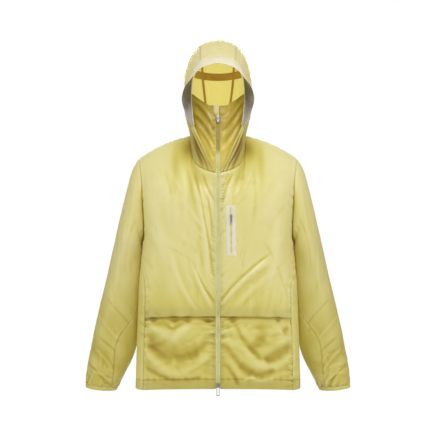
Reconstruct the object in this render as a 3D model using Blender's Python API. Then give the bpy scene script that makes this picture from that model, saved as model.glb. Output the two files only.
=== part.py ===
"""Hooded windbreaker jacket in thin nylon, worn shape with nobody in it.

Metres, +Z up, front faces -Y. The origin is between the shoulders, level with
the points where the neck seam meets the shoulder seams.
Every cloth piece is a thin wall laid on a form that two or three short tables
describe; sewn edges stand 0.3 mm apart.
"""
import functools
import math

import bpy
import bmesh
import numpy as np
from mathutils import Vector
from mathutils.bvhtree import BVHTree
from mathutils.kdtree import KDTree

# ---------------------------------------------------------------- sizes
CLOTH = 0.0012            # thickness of every cloth wall
HALF_GAP = 0.00016        # each sewn edge stops this far short of the seam line
UNDERARM_GAP = 0.00050    # the same for the under sleeve, whose seam is a sharp fold
NECK_GAP = 0.00034        # and for the hood's sides, which rise steeply from the neck
FRONT_EDGE_X = 0.0056     # the two fronts leave a strip this half wide for the zip
FLAP_Z = -0.494           # lower edge of the upper fronts, at the zip
FLAP_SIDE_Z = -0.503      # the same edge at the side seam
HEM_Z = -0.690            # hem at the zip
HEM_SIDE_Z = -0.700       # hem at the sides and back
UNDERARM_Z = -0.297
ARM_STEPS = 9             # rows from shoulder to underarm, also half a sleeve ring
NECK_STEPS = 5            # cells along one front's neck seam
SHOULDER_STEPS = 8        # cells along a shoulder seam
CHEST_ROWS = 9            # rows from underarm to flap
POCKET_ROWS = 6           # rows of the back from flap to hem
HOOD_ROWS = 12            # cells along the hood's strip
COLLAR_CELLS = (10, 8)    # cells along and down half the collar
NECK_SHARE = 0.30         # share of a front's or half back's columns under the neck
ROW_SPLIT = 0.42          # share of the armhole where the yoke rows end

# body rings: height, half width, side y, front y, back y
TORSO = (
    (-0.105, 0.2190, -0.004, -0.1250, 0.104),
    (-0.160, 0.2190, -0.008, -0.1290, 0.113),
    (-0.230, 0.2150, -0.014, -0.1310, 0.116),
    (-0.297, 0.2100, -0.020, -0.1305, 0.116),
    (-0.350, 0.2133, -0.028, -0.1300, 0.114),
    (-0.395, 0.2177, -0.033, -0.1305, 0.113),
    (-0.458, 0.2223, -0.035, -0.1320, 0.113),
    (-0.570, 0.2262, -0.035, -0.1350, 0.116),
    (-0.700, 0.2300, -0.035, -0.1330, 0.118),
)
SQUARE = 0.12             # how far the rings bulge past a true ellipse

# side seam: height, angle round the ring from centre front, degrees
SIDE_SEAM = ((-0.297, 96.0), (-0.340, 84.0), (-0.385, 70.0), (-0.430, 62.5),
             (-0.560, 61.5), (-0.700, 61.0))

# neck seam, from the zip round to centre back: x, y, z
NECK_SEAM = (
    (0.0056, -0.1250, -0.1050), (0.0160, -0.1232, -0.1035), (0.0310, -0.1175, -0.0990),
    (0.0490, -0.1060, -0.0890), (0.0640, -0.0880, -0.0760),
    (0.0710, -0.0660, -0.0560), (0.0750, -0.0400, -0.0250),
    (0.0780, -0.0120, 0.0020),
)
NECK_BACK = (
    (0.0780, -0.0120, 0.0020), (0.0745, 0.0250, 0.0130),
    (0.0580, 0.0580, 0.0165), (0.0320, 0.0760, 0.0165),
    (0.0000, 0.0820, 0.0160),
)
SHOULDER_SEAM = (
    (0.0780, -0.0120, 0.0020), (0.1215, -0.0120, -0.0085),
    (0.1575, -0.0100, -0.0225), (0.1980, -0.0050, -0.0440),
    (0.2230, 0.0010, -0.0615),
)
ARMHOLE_FRONT = (
    (0.2230, 0.0010, -0.0615), (0.2190, -0.0290, -0.0860),
    (0.2130, -0.0510, -0.1300), (0.2085, -0.0590, -0.1850),
    (0.2060, -0.0540, -0.2350), (0.2060, -0.0380, -0.2750),
)
ARMHOLE_BACK = (
    (0.2230, 0.0010, -0.0615), (0.2195, 0.0350, -0.0860),
    (0.2130, 0.0620, -0.1300), (0.2075, 0.0730, -0.1850),
    (0.2050, 0.0640, -0.2350), (0.2060, 0.0400, -0.2750),
)

# sleeve rings: share of the length, outer x, outer z, inner x, inner z, mid y, half depth
SLEEVE = (
    (0.000, 0.2230, -0.0615, 0.2080, -0.2970, 0.010, 0.070),
    (0.070, 0.2425, -0.0940, 0.2185, -0.3020, 0.014, 0.073),
    (0.150, 0.2575, -0.1445, 0.2145, -0.3150, 0.021, 0.075),
    (0.250, 0.2735, -0.2080, 0.2140, -0.3400, 0.026, 0.075),
    (0.350, 0.2900, -0.2800, 0.2155, -0.3720, 0.029, 0.073),
    (0.450, 0.3055, -0.3480, 0.2165, -0.4130, 0.030, 0.071),
    (0.550, 0.3185, -0.4080, 0.2180, -0.4540, 0.029, 0.069),
    (0.650, 0.3335, -0.4690, 0.2210, -0.5030, 0.025, 0.067),
    (0.750, 0.3475, -0.5330, 0.2255, -0.5560, 0.020, 0.064),
    (0.850, 0.3610, -0.6000, 0.2370, -0.6130, 0.013, 0.060),
    (0.930, 0.3700, -0.6530, 0.2600, -0.6600, 0.006, 0.056),
    (1.000, 0.3715, -0.6930, 0.2815, -0.7020, 0.001, 0.048),
)
CUFF_LENGTH = 0.010
# sleeve seams: share of the length, front seam and back seam, in shares of a half ring
SLEEVE_SEAMS = ((0.0, 7 / 9, 6 / 9), (0.45, 0.86, 0.70), (0.62, 0.82, 0.72),
                (0.80, 0.55, 0.76), (1.0, 0.72, 0.80))

# hood centre line from the brim seam over the crown to the neck: y, z, half width of the strip
HOOD_LINE = (
    (-0.1000, 0.2135, 0.0490), (-0.0500, 0.2535, 0.0500), (0.0000, 0.2730, 0.0500),
    (0.0500, 0.2635, 0.0490), (0.0900, 0.2290, 0.0475), (0.1130, 0.1830, 0.0455),
    (0.1190, 0.1350, 0.0410), (0.1120, 0.0850, 0.0345), (0.0960, 0.0430, 0.0285),
    (0.0813, 0.0164, 0.0240),
)
STRIP_DROP = 0.012        # how far the strip's edges lie under its middle
# seam between hood and brim, from the middle round to the cheek: x, y, z
BRIM_SEAM = (
    (0.0000, -0.1000, 0.2135), (0.0300, -0.0990, 0.2100), (0.0490, -0.0975, 0.2015),
    (0.0655, -0.0940, 0.1790), (0.0735, -0.0890, 0.1500), (0.0760, -0.0840, 0.1200),
    (0.0755, -0.0810, 0.0980), (0.0735, -0.0800, 0.0750), (0.0715, -0.0815, 0.0540),
    (0.0695, -0.0850, 0.0370), (0.0672, -0.0890, 0.0270),
)
# free edge of the brim, same order
BRIM_EDGE = (
    (0.0000, -0.1500, 0.1885), (0.0380, -0.1475, 0.1805), (0.0585, -0.1445, 0.1650),
    (0.0750, -0.1410, 0.1460), (0.0880, -0.1370, 0.1300), (0.0966, -0.1310, 0.1080),
    (0.0984, -0.1260, 0.0910), (0.0935, -0.1180, 0.0690), (0.0865, -0.1090, 0.0500),
    (0.0785, -0.1010, 0.0350), (0.0700, -0.0945, 0.0260),
)
# hood front edge below the brim, down to the zip
HOOD_FRONT = (
    (0.0672, -0.0890, 0.0270), (0.0600, -0.0950, 0.0080), (0.0440, -0.1065, -0.0250),
    (0.0250, -0.1170, -0.0650), (0.0056, -0.1250, -0.1050),
)
# inner collar: foot and top edge from the zip to the hood's side
COLLAR_FOOT = (
    (0.0056, -0.1195, -0.0985), (0.0160, -0.1190, -0.0978), (0.0310, -0.1115, -0.0920),
    (0.0470, -0.0990, -0.0830),
    (0.0610, -0.0820, -0.0700), (0.0672, -0.0620, -0.0480), (0.0705, -0.0420, -0.0200),
)
COLLAR_TOP = (
    (0.0056, -0.1020, 0.0790), (0.0160, -0.1015, 0.0790), (0.0260, -0.0985, 0.0806),
    (0.0402, -0.0910, 0.0900),
    (0.0560, -0.0780, 0.1018), (0.0690, -0.0600, 0.1133), (0.0770, -0.0400, 0.1170),
)

# folds on the fronts: x and z of both ends, sag, half width, height (+ stands out)
FRONT_FOLDS = (
    (-0.062, -0.130, -0.022, -0.372, 0.012, 0.009, 0.0045),
    (-0.030, -0.180, -0.016, -0.275, 0.004, 0.007, 0.0030),
    (0.032, -0.150, 0.018, -0.225, -0.003, 0.007, 0.0030),
    (0.128, -0.350, 0.020, -0.450, 0.006, 0.009, 0.0045),
    (-0.066, -0.352, -0.016, -0.462, -0.004, 0.008, 0.0035),
    (-0.170, -0.250, -0.120, -0.440, 0.010, 0.013, 0.0035),
    (0.165, -0.230, 0.130, -0.420, -0.010, 0.013, 0.0035),
    (0.175, -0.120, 0.120, -0.230, -0.006, 0.011, 0.0030),
    (-0.175, -0.120, -0.115, -0.230, 0.006, 0.011, 0.0030),
)
LOWER_FOLDS = (
    (-0.192, -0.520, -0.062, -0.520, -0.060, 0.012, 0.0065),
    (-0.190, -0.565, -0.035, -0.590, -0.048, 0.011, -0.0060),
    (-0.192, -0.600, -0.020, -0.598, -0.058, 0.012, 0.0060),
    (-0.170, -0.650, -0.030, -0.640, -0.022, 0.011, -0.0045),
    (0.055, -0.520, 0.135, -0.522, -0.068, 0.011, -0.0060),
    (0.018, -0.550, 0.190, -0.612, -0.050, 0.012, 0.0065),
    (0.125, -0.570, 0.192, -0.560, -0.030, 0.012, -0.0055),
    (0.020, -0.580, 0.115, -0.662, -0.018, 0.011, -0.0050),
    (0.060, -0.668, 0.130, -0.664, 0.004, 0.007, 0.0035),
)
BACK_FOLDS = (
    (-0.150, -0.210, -0.060, -0.400, 0.018, 0.014, 0.0040),
    (0.150, -0.210, 0.070, -0.420, -0.018, 0.014, 0.0040),
    (-0.130, -0.480, 0.060, -0.520, -0.030, 0.016, 0.0045),
    (-0.040, -0.560, 0.160, -0.600, -0.030, 0.016, -0.0040),
    (-0.090, -0.050, 0.090, -0.050, -0.020, 0.014, 0.0030),
    (-0.180, -0.600, -0.060, -0.655, -0.015, 0.014, 0.0040),
)
# folds round a sleeve: share of length and of the ring (-1..1) at both ends, width, height
SLEEVE_FOLDS = (
    (0.10, 0.95, 0.34, 0.35, 0.045, 0.0040),
    (0.20, 0.98, 0.46, 0.45, 0.045, -0.0035),
    (0.56, 0.15, 0.70, 0.85, 0.040, 0.0040),
    (0.74, 0.10, 0.86, 0.75, 0.035, 0.0050),
    (0.82, 0.05, 0.93, 0.70, 0.030, -0.0045),
    (0.88, 0.20, 0.965, 0.80, 0.028, 0.0045),
    (0.52, -0.10, 0.68, -0.80, 0.045, 0.0040),
    (0.78, -0.10, 0.90, -0.75, 0.040, 0.0045),
    (0.15, -0.90, 0.38, -0.40, 0.050, 0.0035),
)

# chest pocket on the wearer's left
POCKET = (0.0352, -0.2632, -0.020)     # middle x, middle z, lean
POCKET_WIDTH = 0.0280
POCKET_HEIGHT = 0.1390
# elastic channel inside the back of the hood
CHANNEL_Z = 0.183
CHANNEL_HEIGHT = 0.020
CHANNEL_RISE = 0.006      # how much higher its ends lie
CHANNEL_TURN = 47.0       # degrees it reaches to each side of centre back

LAID_LIFT = 0.0003        # air between a panel and what lies on it
FLAP_STAND = 0.0032       # how far the flap's edge stands off
TUCK_DEPTH = 0.0030       # how far the lower front lies in, under the flap
CAP_END = 0.24            # share of the sleeve shaped by the armhole
TOP_CELLS, UNDER_CELLS = 13, 5        # cells round the top and under sleeve
RING_TO_LENGTH = 0.35     # one half ring as a share of the sleeve's length
STRIP_END = 0.14          # share of the hood strip drawn on to each seam
STRIP_STOP = 0.93         # where the hood sides leave the strip at the back
LONG_NECK_CELLS = (5, 6, 7)           # cells of the neck seam that the hood halves
HOOD_SWELL = (0.008, 0.004)           # how far its sides belly out high up, and back
HOOD_DRAW = 0.014         # how far they draw in at the cheeks
BRIM_BOW = 0.003          # how far the brim bows up between its seam and its edge
FACING_THICK = 0.0010
FACING_END = 0.06         # share of a cell that the facing stops short, both ends
COLLAR_PLEAT = 0.0030     # height of the collar's soft pleats
ELASTIC_THICK = 0.0016
CUFF_DRAW = (0.985, 0.960)            # cuff's size to the sleeve's rim, at top and foot
CUFF_CELLS = 24
ZIP_CLEAR = (0.014, 0.030)            # folds start this far from the zip and grow over this
SEAM_CLEAR = 0.14         # and over this share of the panel from a seam
BODY_MIDDLE = (0.0, 0.0, -0.25)
HEAD_MIDDLE = (0.0, 0.0, 0.12)
CHEST_MIDDLE = (0.0, 0.02, 0.0)

# strips up centre front: from x, to x, depth behind the cloth's face, thickness
TAPE_STRIP = (0.0003, 0.0092, 0.0023, 0.0008)
CHAIN_STRIP = (-0.0030, 0.0030, 0.0003, 0.0012)
GARAGE_STRIP = (-0.0125, 0.0008, -0.0016, 0.0010)
GARAGE_HEIGHTS = (0.056, 0.064, 0.073, 0.0815)
TAPE_TOP = 0.070
ZIP_TURN = (-0.108, -0.1045, -0.101)  # rows where the zip steps in to the collar
TRIM_THICK = 0.0008       # patch, pocket zip and hood channel
POCKET_ZIP = (0.0040, 0.1250)         # width and length of the chest zip

# zip runners
BRIDGE_WIDTH = 0.0020
BRIDGE_GAP = 0.0020       # room for a pull's bar under the bridge
BRIDGE_BAR = 0.0012
AXIS_UP = 0.0008          # hinge above the slider's middle
BRIDGE_FEET = (0.0017, 0.0032)        # where its two feet start and end, from the hinge
PULL_THICK = 0.0010
PULL_BAR = 0.0012
SLIDER_EASE = 0.00025     # bevel of a slider's edges
PULL_EASE = 0.0002
# each zip's slider height, slider (width, height, depth), pull (width, length, eye, window)
TOP_ZIP = (0.046, (0.0082, 0.0120, 0.0042), (0.0064, 0.0140, 0.0030, 0.0044))
HEM_ZIP = (-0.680, (0.0082, 0.0120, 0.0042), (0.0080, 0.0290, 0.0048, 0.0264))
CHEST_ZIP = (-0.223, (0.0058, 0.0086, 0.0030), (0.0050, 0.0180, 0.0028, 0.0042))

NYLON_RGB = (0.634, 0.539, 0.141, 1.0)
FACING_RGB = (0.150, 0.130, 0.105, 1.0)
BRIM_RGB = (0.965, 0.900, 0.680, 1.0)
PATCH_RGB = (0.600, 0.580, 0.420, 1.0)
ZIP_RGB = (0.560, 0.520, 0.240, 1.0)
CHANNEL_RGB = (0.330, 0.220, 0.060, 1.0)
METAL_RGB = (0.420, 0.420, 0.400, 1.0)


# ---------------------------------------------------------------- curves
@functools.lru_cache(maxsize=None)
def fine_line(points):
    """A smooth curve through a table's rows as close points, and its run of length."""
    rows = np.array(points)
    ends = np.vstack([2 * rows[0] - rows[1], rows, 2 * rows[-1] - rows[-2]])
    steps = np.linspace(0.0, 1.0, 25)[:, None]
    fine = [rows[:1]]
    for k in range(len(rows) - 1):
        a, b, c, d = ends[k:k + 4]
        part = 0.5 * (2 * b + (c - a) * steps + (2 * a - 5 * b + 4 * c - d) * steps ** 2
                      + (3 * b - a - 3 * c + d) * steps ** 3)
        fine.append(part[1:])
    fine = np.concatenate(fine)
    run = np.concatenate([[0.0], np.cumsum(np.linalg.norm(np.diff(fine, axis=0), axis=1))])
    return fine, run / run[-1]


def spline(points, spots):
    """Points of a smooth curve through a table's rows, at shares of its length."""
    fine, run = fine_line(points)
    wanted = np.atleast_1d(spots)
    return np.stack([np.interp(wanted, run, fine[:, i]) for i in range(3)], axis=1)


def smooth_table(table, value):
    """Columns of a table at a value of its first column, smoothly."""
    rows = sorted(table)
    keys = [row[0] for row in rows]
    value = min(max(value, keys[0]), keys[-1])
    k = min(max(int(np.searchsorted(keys, value)) - 1, 0), len(rows) - 2)
    t = (value - keys[k]) / (keys[k + 1] - keys[k])
    out = []
    for i in range(1, len(rows[0])):
        b, c = rows[k][i], rows[k + 1][i]
        a = rows[k - 1][i] if k > 0 else 2 * b - c
        d = rows[k + 2][i] if k + 2 < len(rows) else 2 * c - b
        out.append(0.5 * (2 * b + (c - a) * t + (2 * a - 5 * b + 4 * c - d) * t * t
                          + (3 * b - a - 3 * c + d) * t ** 3))
    return out


def ease(value):
    """0 to 1 without a corner at either end."""
    value = min(max(value, 0.0), 1.0)
    return value * value * (3.0 - 2.0 * value)


def fold_height(folds, along, across):
    """Height that a table of folds gives at one place on a panel."""
    total = 0.0
    for x0, z0, x1, z1, sag, width, height in folds:
        run = math.hypot(x1 - x0, z1 - z0)
        ux, uz = (x1 - x0) / run, (z1 - z0) / run
        t = ((along - x0) * ux + (across - z0) * uz) / run
        off = -(along - x0) * uz + (across - z0) * ux
        if not -0.25 < t < 1.25:
            continue
        inside = min(max(t, 0.0), 1.0)
        off -= sag * 4.0 * inside * (1.0 - inside) * (1.0 if ux >= 0 else -1.0)
        taper = ease((t + 0.15) / 0.30) * ease((1.15 - t) / 0.30)
        total += height * taper * math.exp(-(off / width) ** 2)
    return total


# ---------------------------------------------------------------- body form
def ring(angle, z):
    """Point on the body at an angle (degrees) round from centre front."""
    half, side_y, front_y, back_y = smooth_table(TORSO, z)
    turn = math.radians(angle)
    s, c = math.sin(turn), math.cos(turn)
    x = half * s * (1.0 + SQUARE * c * c)
    depth = side_y - front_y if c > 0 else back_y - side_y
    y = side_y - depth * c * (1.0 + SQUARE * s * s)
    return np.array((x, y, z))


def seam_angle(z):
    """Angle of the side seam at a height."""
    return smooth_table(SIDE_SEAM, z)[0]


@functools.lru_cache(maxsize=None)
def armhole_line(front):
    """Rows of the armhole's table with the underarm point added."""
    under = tuple(ring(seam_angle(UNDERARM_Z), UNDERARM_Z))
    return (ARMHOLE_FRONT if front else ARMHOLE_BACK) + (under,)


def armhole(share, front):
    """Point on the armhole from shoulder (0) to underarm (1)."""
    return spline(armhole_line(front), [share])[0]


@functools.lru_cache(maxsize=None)
def edge_angle(share, front):
    """Angle whose ring point lies nearest the armhole at a share of it."""
    if share > 0.999:
        return seam_angle(UNDERARM_Z)
    point = armhole(share, front)
    z = max(point[2], -0.230)
    angles = np.linspace(35.0, 145.0, 111)
    gaps = [np.linalg.norm(ring(a, z)[:2] - point[:2]) for a in angles]
    return float(angles[int(np.argmin(gaps))])


def body_row(w, share, front):
    """Point at share w of a row from centre to armhole, below the yoke."""
    edge = armhole(share, front)
    centre_z = (-0.105 if front else -0.070) * (1.0 - share) + UNDERARM_Z * share
    z = centre_z + (edge[2] - centre_z) * w * w
    near = edge_angle(share, front)
    angle = w * near if front else 180.0 - w * (180.0 - near)
    shift = edge - ring(near, edge[2] if edge[2] < -0.16 else -0.16)
    shift[2] = 0.0
    here = ring(angle, min(z, -0.105))
    here[2] = z
    return here + shift * w ** 3


def top_line(w, front):
    """Point on the upper edge of a front or of the back: neck, then shoulder."""
    if w <= NECK_SHARE:
        table = NECK_SEAM if front else NECK_BACK[::-1]
        return spline(table, [w / NECK_SHARE])[0]
    return spline(SHOULDER_SEAM, [(w - NECK_SHARE) / (1.0 - NECK_SHARE)])[0]


def yoke_point(w, share, front):
    """Point between the upper edge and the row where the yoke ends."""
    t = share / ROW_SPLIT
    start = top_line(w, front)
    end = body_row(w, ROW_SPLIT, front)
    below = body_row(w, ROW_SPLIT + 0.04, front)
    reach = np.linalg.norm(end - start)
    down = (below - end) / np.linalg.norm(below - end) * reach
    to_shoulder = ease(w / NECK_SHARE)
    if front:
        leave = np.array((0.0, -0.20 - 0.62 * to_shoulder, -0.98 + 0.40 * to_shoulder))
    else:
        leave = np.array((0.0, 0.60 + 0.38 * to_shoulder, -0.80 + 0.86 * to_shoulder))
    leave = leave / np.linalg.norm(leave) * reach * 0.9
    t2, t3 = t * t, t * t * t
    return ((2 * t3 - 3 * t2 + 1) * start + (t3 - 2 * t2 + t) * leave
            + (-2 * t3 + 3 * t2) * end + (t3 - t2) * down)


def upper_body(w, share, front):
    """Body point above the underarm, share 0 at the upper edge, 1 at the underarm."""
    if share >= ROW_SPLIT:
        point = body_row(w, share, front)
    else:
        point = yoke_point(w, share, front)
        slip = armhole(share, front) - yoke_point(1.0, share, front)
        point = point + slip * w ** 4
    if front:
        point[0] += FRONT_EDGE_X * (1.0 - w) ** 2 * (1.0 if share >= ROW_SPLIT else
                                                     share / ROW_SPLIT)
    return point


def lower_body(w, z_centre, z_side, front):
    """Body point below the underarm."""
    z = z_centre + (z_side - z_centre) * w * w
    seam = seam_angle(z)
    if front:
        start = math.degrees(FRONT_EDGE_X / 0.23)
        angle = start + (seam - start) * w
    else:
        angle = 180.0 - w * (180.0 - seam)
    return ring(angle, z)


# ---------------------------------------------------------------- shared columns
def front_columns():
    """Shares across a front: under the neck seam, then under the shoulder seam."""
    neck = np.linspace(0.0, NECK_SHARE, NECK_STEPS + 1)
    return np.concatenate([neck, np.linspace(NECK_SHARE, 1.0, SHOULDER_STEPS + 1)[1:]])


def share_at_x(points, x):
    """Share of a curve's length where it has a given x (x must run one way)."""
    fine, run = fine_line(points)
    stop = int(np.argmax(np.diff(fine[:, 0]) * (1 if fine[0, 0] < x else -1) < 0))
    stop = stop if stop else len(fine) - 1
    xs, shares = fine[:stop + 1, 0], run[:stop + 1]
    if xs[0] > xs[-1]:
        return float(np.interp(-x, -xs, shares))
    return float(np.interp(x, xs, shares))


def back_columns():
    """Shares across half the back, with stops where the hood's strip seams meet it."""
    strip_foot = HOOD_LINE[-1][2]
    rear = NECK_BACK[::-1]
    first = share_at_x(rear, strip_foot)
    middle = share_at_x(rear, strip_foot / 2)
    neck = np.concatenate([[0.0, middle], np.linspace(first, 1.0, 5)]) * NECK_SHARE
    return np.concatenate([neck, np.linspace(NECK_SHARE, 1.0, SHOULDER_STEPS + 1)[1:]])


def brim_shares():
    """Shares along the brim seam: two cells on the crown strip, nine on the side."""
    strip = HOOD_LINE[0][2]
    first, second = share_at_x(BRIM_SEAM, strip / 2), share_at_x(BRIM_SEAM, strip)
    return np.concatenate([[0.0, first], np.linspace(second, 1.0, 10)])


# ---------------------------------------------------------------- building walls
def grid_normals(points, inside, closed=False):
    """Unit normals of a grid of points, turned away from a point inside."""
    if closed:
        across = np.roll(points, -1, axis=1) - np.roll(points, 1, axis=1)
    else:
        across = np.gradient(points, axis=1)
    normals = np.cross(across, np.gradient(points, axis=0))
    normals /= np.maximum(np.linalg.norm(normals, axis=2, keepdims=True), 1e-12)
    if np.sum(normals * (points - np.asarray(inside))) < 0:
        normals = -normals
    return normals


class Panel:
    """One cut piece: a grid of points on its outer face, and where it is sewn."""

    def __init__(self, name, points, inside, sewn=(), colour=NYLON_RGB, normals=None,
                 gap=HALF_GAP):
        self.name = name
        self.gap = gap
        self.points = np.array(points, dtype=float)
        self.sewn = sewn
        self.colour = colour
        if normals is None:
            normals = grid_normals(self.points, inside)
        self.normals = normals

    def rim(self):
        """Row and column of every point round the edge."""
        rows, cols = self.points.shape[:2]
        cells = [(0, c) for c in range(cols)] + [(r, cols - 1) for r in range(1, rows)]
        cells += [(rows - 1, c) for c in range(cols - 2, -1, -1)]
        return cells + [(r, 0) for r in range(rows - 2, 0, -1)]

    def draw_in(self):
        """Pull the sewn edges back from the seam line."""
        points = self.points
        lines = {"top": (points[0], points[1]), "bottom": (points[-1], points[-2]),
                 "start": (points[:, 0], points[:, 1]), "end": (points[:, -1], points[:, -2])}
        for edge in self.sewn:
            line, following = lines[edge]
            step = following - line
            line += step / np.linalg.norm(step, axis=1, keepdims=True) * self.gap

    def build(self, sink=0.0, thick=CLOTH):
        """The wall: outer face sunk by sink, inner face thick further in."""
        self.draw_in()
        outer = self.points - self.normals * sink
        inner = outer - self.normals * thick
        rows, cols = outer.shape[:2]
        half = rows * cols
        vertices = np.concatenate([outer.reshape(-1, 3), inner.reshape(-1, 3)])
        faces = []
        for r in range(rows - 1):
            for c in range(cols - 1):
                a = r * cols + c
                b, d, e = a + 1, a + cols, a + cols + 1
                faces += [(a, b, e, d), (a + half, d + half, e + half, b + half)]
        edge = [r * cols + c for r, c in self.rim()]
        for a, b in zip(edge, edge[1:] + edge[:1]):
            faces.append((b, a, a + half, b + half))
        return cloth_object(self.name, vertices, faces, self.colour)


def marry_edges(panels):
    """Give edges that are sewn together one common direction, so walls never cross."""
    places = [(panel, r, c) for panel in panels for r, c in panel.rim()]
    tree = KDTree(len(places))
    for k, (panel, r, c) in enumerate(places):
        tree.insert(panel.points[r, c], k)
    tree.balance()
    mixed = []
    for panel, r, c in places:
        near = {id(places[k][0]): places[k] for _, k, _ in
                tree.find_range(panel.points[r, c], 0.0003)}
        total = sum(p.normals[i, j] for p, i, j in near.values())
        mixed.append(total / np.linalg.norm(total))
    for (panel, r, c), normal in zip(places, mixed):
        panel.normals[r, c] = normal


def plain_material(name, colour, metallic=0.0, roughness=0.55):
    """A Principled finish of one colour."""
    material = bpy.data.materials.new(name + "_finish")
    material.use_nodes = True
    shader = material.node_tree.nodes["Principled BSDF"]
    shader.inputs["Base Color"].default_value = colour
    shader.inputs["Metallic"].default_value = metallic
    shader.inputs["Roughness"].default_value = roughness
    return material


def finished_object(name, bm, material):
    """An object from a closed bmesh, faces turned out."""
    bmesh.ops.triangulate(bm, faces=bm.faces[:])
    bmesh.ops.recalc_face_normals(bm, faces=bm.faces[:])
    mesh = bpy.data.meshes.new(name)
    bm.to_mesh(mesh)
    bm.free()
    mesh.materials.append(material)
    thing = bpy.data.objects.new(name, mesh)
    bpy.context.scene.collection.objects.link(thing)
    return thing


def cloth_object(name, vertices, faces, colour):
    """A smooth-shaded cloth object from points and faces."""
    bm = bmesh.new()
    made = [bm.verts.new(tuple(v)) for v in vertices]
    for face in faces:
        bm.faces.new([made[k] for k in face])
    thing = finished_object(name, bm, plain_material(name, colour))
    thing.data.shade_smooth()
    return thing


def mirrored(points):
    """The same grid on the other side of the body."""
    return (points * np.array((-1.0, 1.0, 1.0)))[:, ::-1]


def surface_tree(*things):
    """A search tree of several solids' faces."""
    vertices, faces = [], []
    for thing in things:
        base = len(vertices)
        vertices += [v.co.copy() for v in thing.data.vertices]
        faces += [[base + i for i in p.vertices] for p in thing.data.polygons]
    return BVHTree.FromPolygons(vertices, faces)


def cast(tree, start, toward):
    """First face hit from a start point, and its normal against the ray."""
    direction = Vector(toward).normalized()
    for nudge in (0.0, 0.0009, -0.0009):
        place, normal, _, _ = tree.ray_cast(Vector(start) + Vector((nudge, 0, nudge)),
                                            direction)
        if place is not None:
            break
    if normal.dot(direction) > 0:
        normal = -normal
    return np.array(place), np.array(normal)


def laid_panel(name, tree, starts, toward, colour, lift, thick):
    """A thin piece laid on a surface, from a grid of start points cast on to it."""
    rows, cols = starts.shape[:2]
    low, normals = np.zeros((rows, cols, 3)), np.zeros((rows, cols, 3))
    for r in range(rows):
        for c in range(cols):
            low[r, c], normals[r, c] = cast(tree, starts[r, c], toward[r, c])
    for _ in range(2):
        soft = normals.copy()
        soft[1:-1] += normals[:-2] + normals[2:]
        soft[:, 1:-1] += normals[:, :-2] + normals[:, 2:]
        normals = soft / np.linalg.norm(soft, axis=2, keepdims=True)
    panel = Panel(name, low, (0, 0, 0), colour=colour, normals=normals)
    return panel.build(sink=-(lift + thick), thick=thick)


# ---------------------------------------------------------------- body panels
def with_folds(points, inside, folds, side, fade):
    """Raise a table's folds on a grid, along its own normals."""
    normals = grid_normals(points, inside)
    table = [(x0 * side, z0, x1 * side, z1, sag * side, width, height)
             for x0, z0, x1, z1, sag, width, height in folds]
    out = points.copy()
    for r in range(points.shape[0]):
        for c in range(points.shape[1]):
            x, _, z = points[r, c]
            out[r, c] += normals[r, c] * fold_height(table, x, z) * fade(r, c)
    return out, normals


def seam_fade(share):
    """1 on a panel, dying to 0 at its outer seam."""
    return ease((1.0 - share) / SEAM_CLEAR)


def zip_fade(x):
    """1 on a front, dying to 0 beside the zip."""
    return ease((abs(x) - ZIP_CLEAR[0]) / ZIP_CLEAR[1])


def front_grid(base, side):
    """Upper front: neck and shoulder to the flap's edge, which stands off a little."""
    columns = front_columns()
    last = base.shape[0] - 1

    def fade(r, c):
        """Folds die out at the zip and at every sewn edge."""
        return (ease(r / 4.0) * seam_fade(columns[c]) * zip_fade(base[r, c][0])
                * (0.4 if r == last else 1.0))

    points, normals = with_folds(base, BODY_MIDDLE, FRONT_FOLDS, side, fade)
    for r in range(last - 3, last + 1):
        swing = FLAP_STAND * ease((r - last + 4) / 4.0)
        for c, w in enumerate(columns):
            points[r, c] += normals[r, c] * swing * (1.0 - abs(2.0 * w - 1.0) ** 6)
    return points


def lower_front_grid(base, side):
    """Lower front: tucked under the flap, down to the hem."""
    columns = front_columns()

    def fade(r, c):
        """Folds start under the flap and die at the seams and hem."""
        x, _, z = base[r, c]
        hem = 1.0 if z > -0.672 else ease((z + 0.70) / 0.028)
        return ease((-0.512 - z) / 0.018) * seam_fade(columns[c]) * zip_fade(x) * hem

    points, normals = with_folds(base, BODY_MIDDLE, LOWER_FOLDS, side, fade)
    for r in range(points.shape[0]):
        for c in range(points.shape[1]):
            points[r, c] -= normals[r, c] * TUCK_DEPTH * ease((base[r, c][2] + 0.540) / 0.030)
    return points


def body_bases():
    """Unfolded grids of a front, a lower front and the back."""
    columns = front_columns()
    upper = [[upper_body(w, j / ARM_STEPS, True) for w in columns]
             for j in range(ARM_STEPS + 1)]
    for t in np.linspace(0.0, 1.0, CHEST_ROWS + 1)[1:]:
        centre = UNDERARM_Z + (FLAP_Z - UNDERARM_Z) * t
        edge = UNDERARM_Z + (FLAP_SIDE_Z - UNDERARM_Z) * t
        upper.append([lower_body(w, centre, edge, True) for w in columns])
    lower = []
    for t in np.concatenate([[-0.12], np.linspace(0.0, 1.0, 2 * POCKET_ROWS + 1)]):
        centre = FLAP_Z + (HEM_Z - FLAP_Z) * t
        edge = FLAP_SIDE_Z + (HEM_SIDE_Z - FLAP_SIDE_Z) * t
        lower.append([lower_body(w, centre, edge, True) for w in columns])
    rear = []
    heights = np.linspace(UNDERARM_Z, FLAP_SIDE_Z, CHEST_ROWS + 1)[1:]
    heights = np.concatenate([heights, np.linspace(FLAP_SIDE_Z, HEM_SIDE_Z,
                                                   POCKET_ROWS + 1)[1:]])
    shares = back_columns()
    for j in range(ARM_STEPS + 1):
        rear.append([upper_body(w, j / ARM_STEPS, False) for w in shares])
    for z in heights:
        rear.append([lower_body(w, z, z, False) for w in shares])
    rear = np.array(rear)
    whole = np.concatenate([(rear * np.array((-1, 1, 1)))[:, :0:-1], rear], axis=1)
    return np.array(upper), np.array(lower), whole


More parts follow.
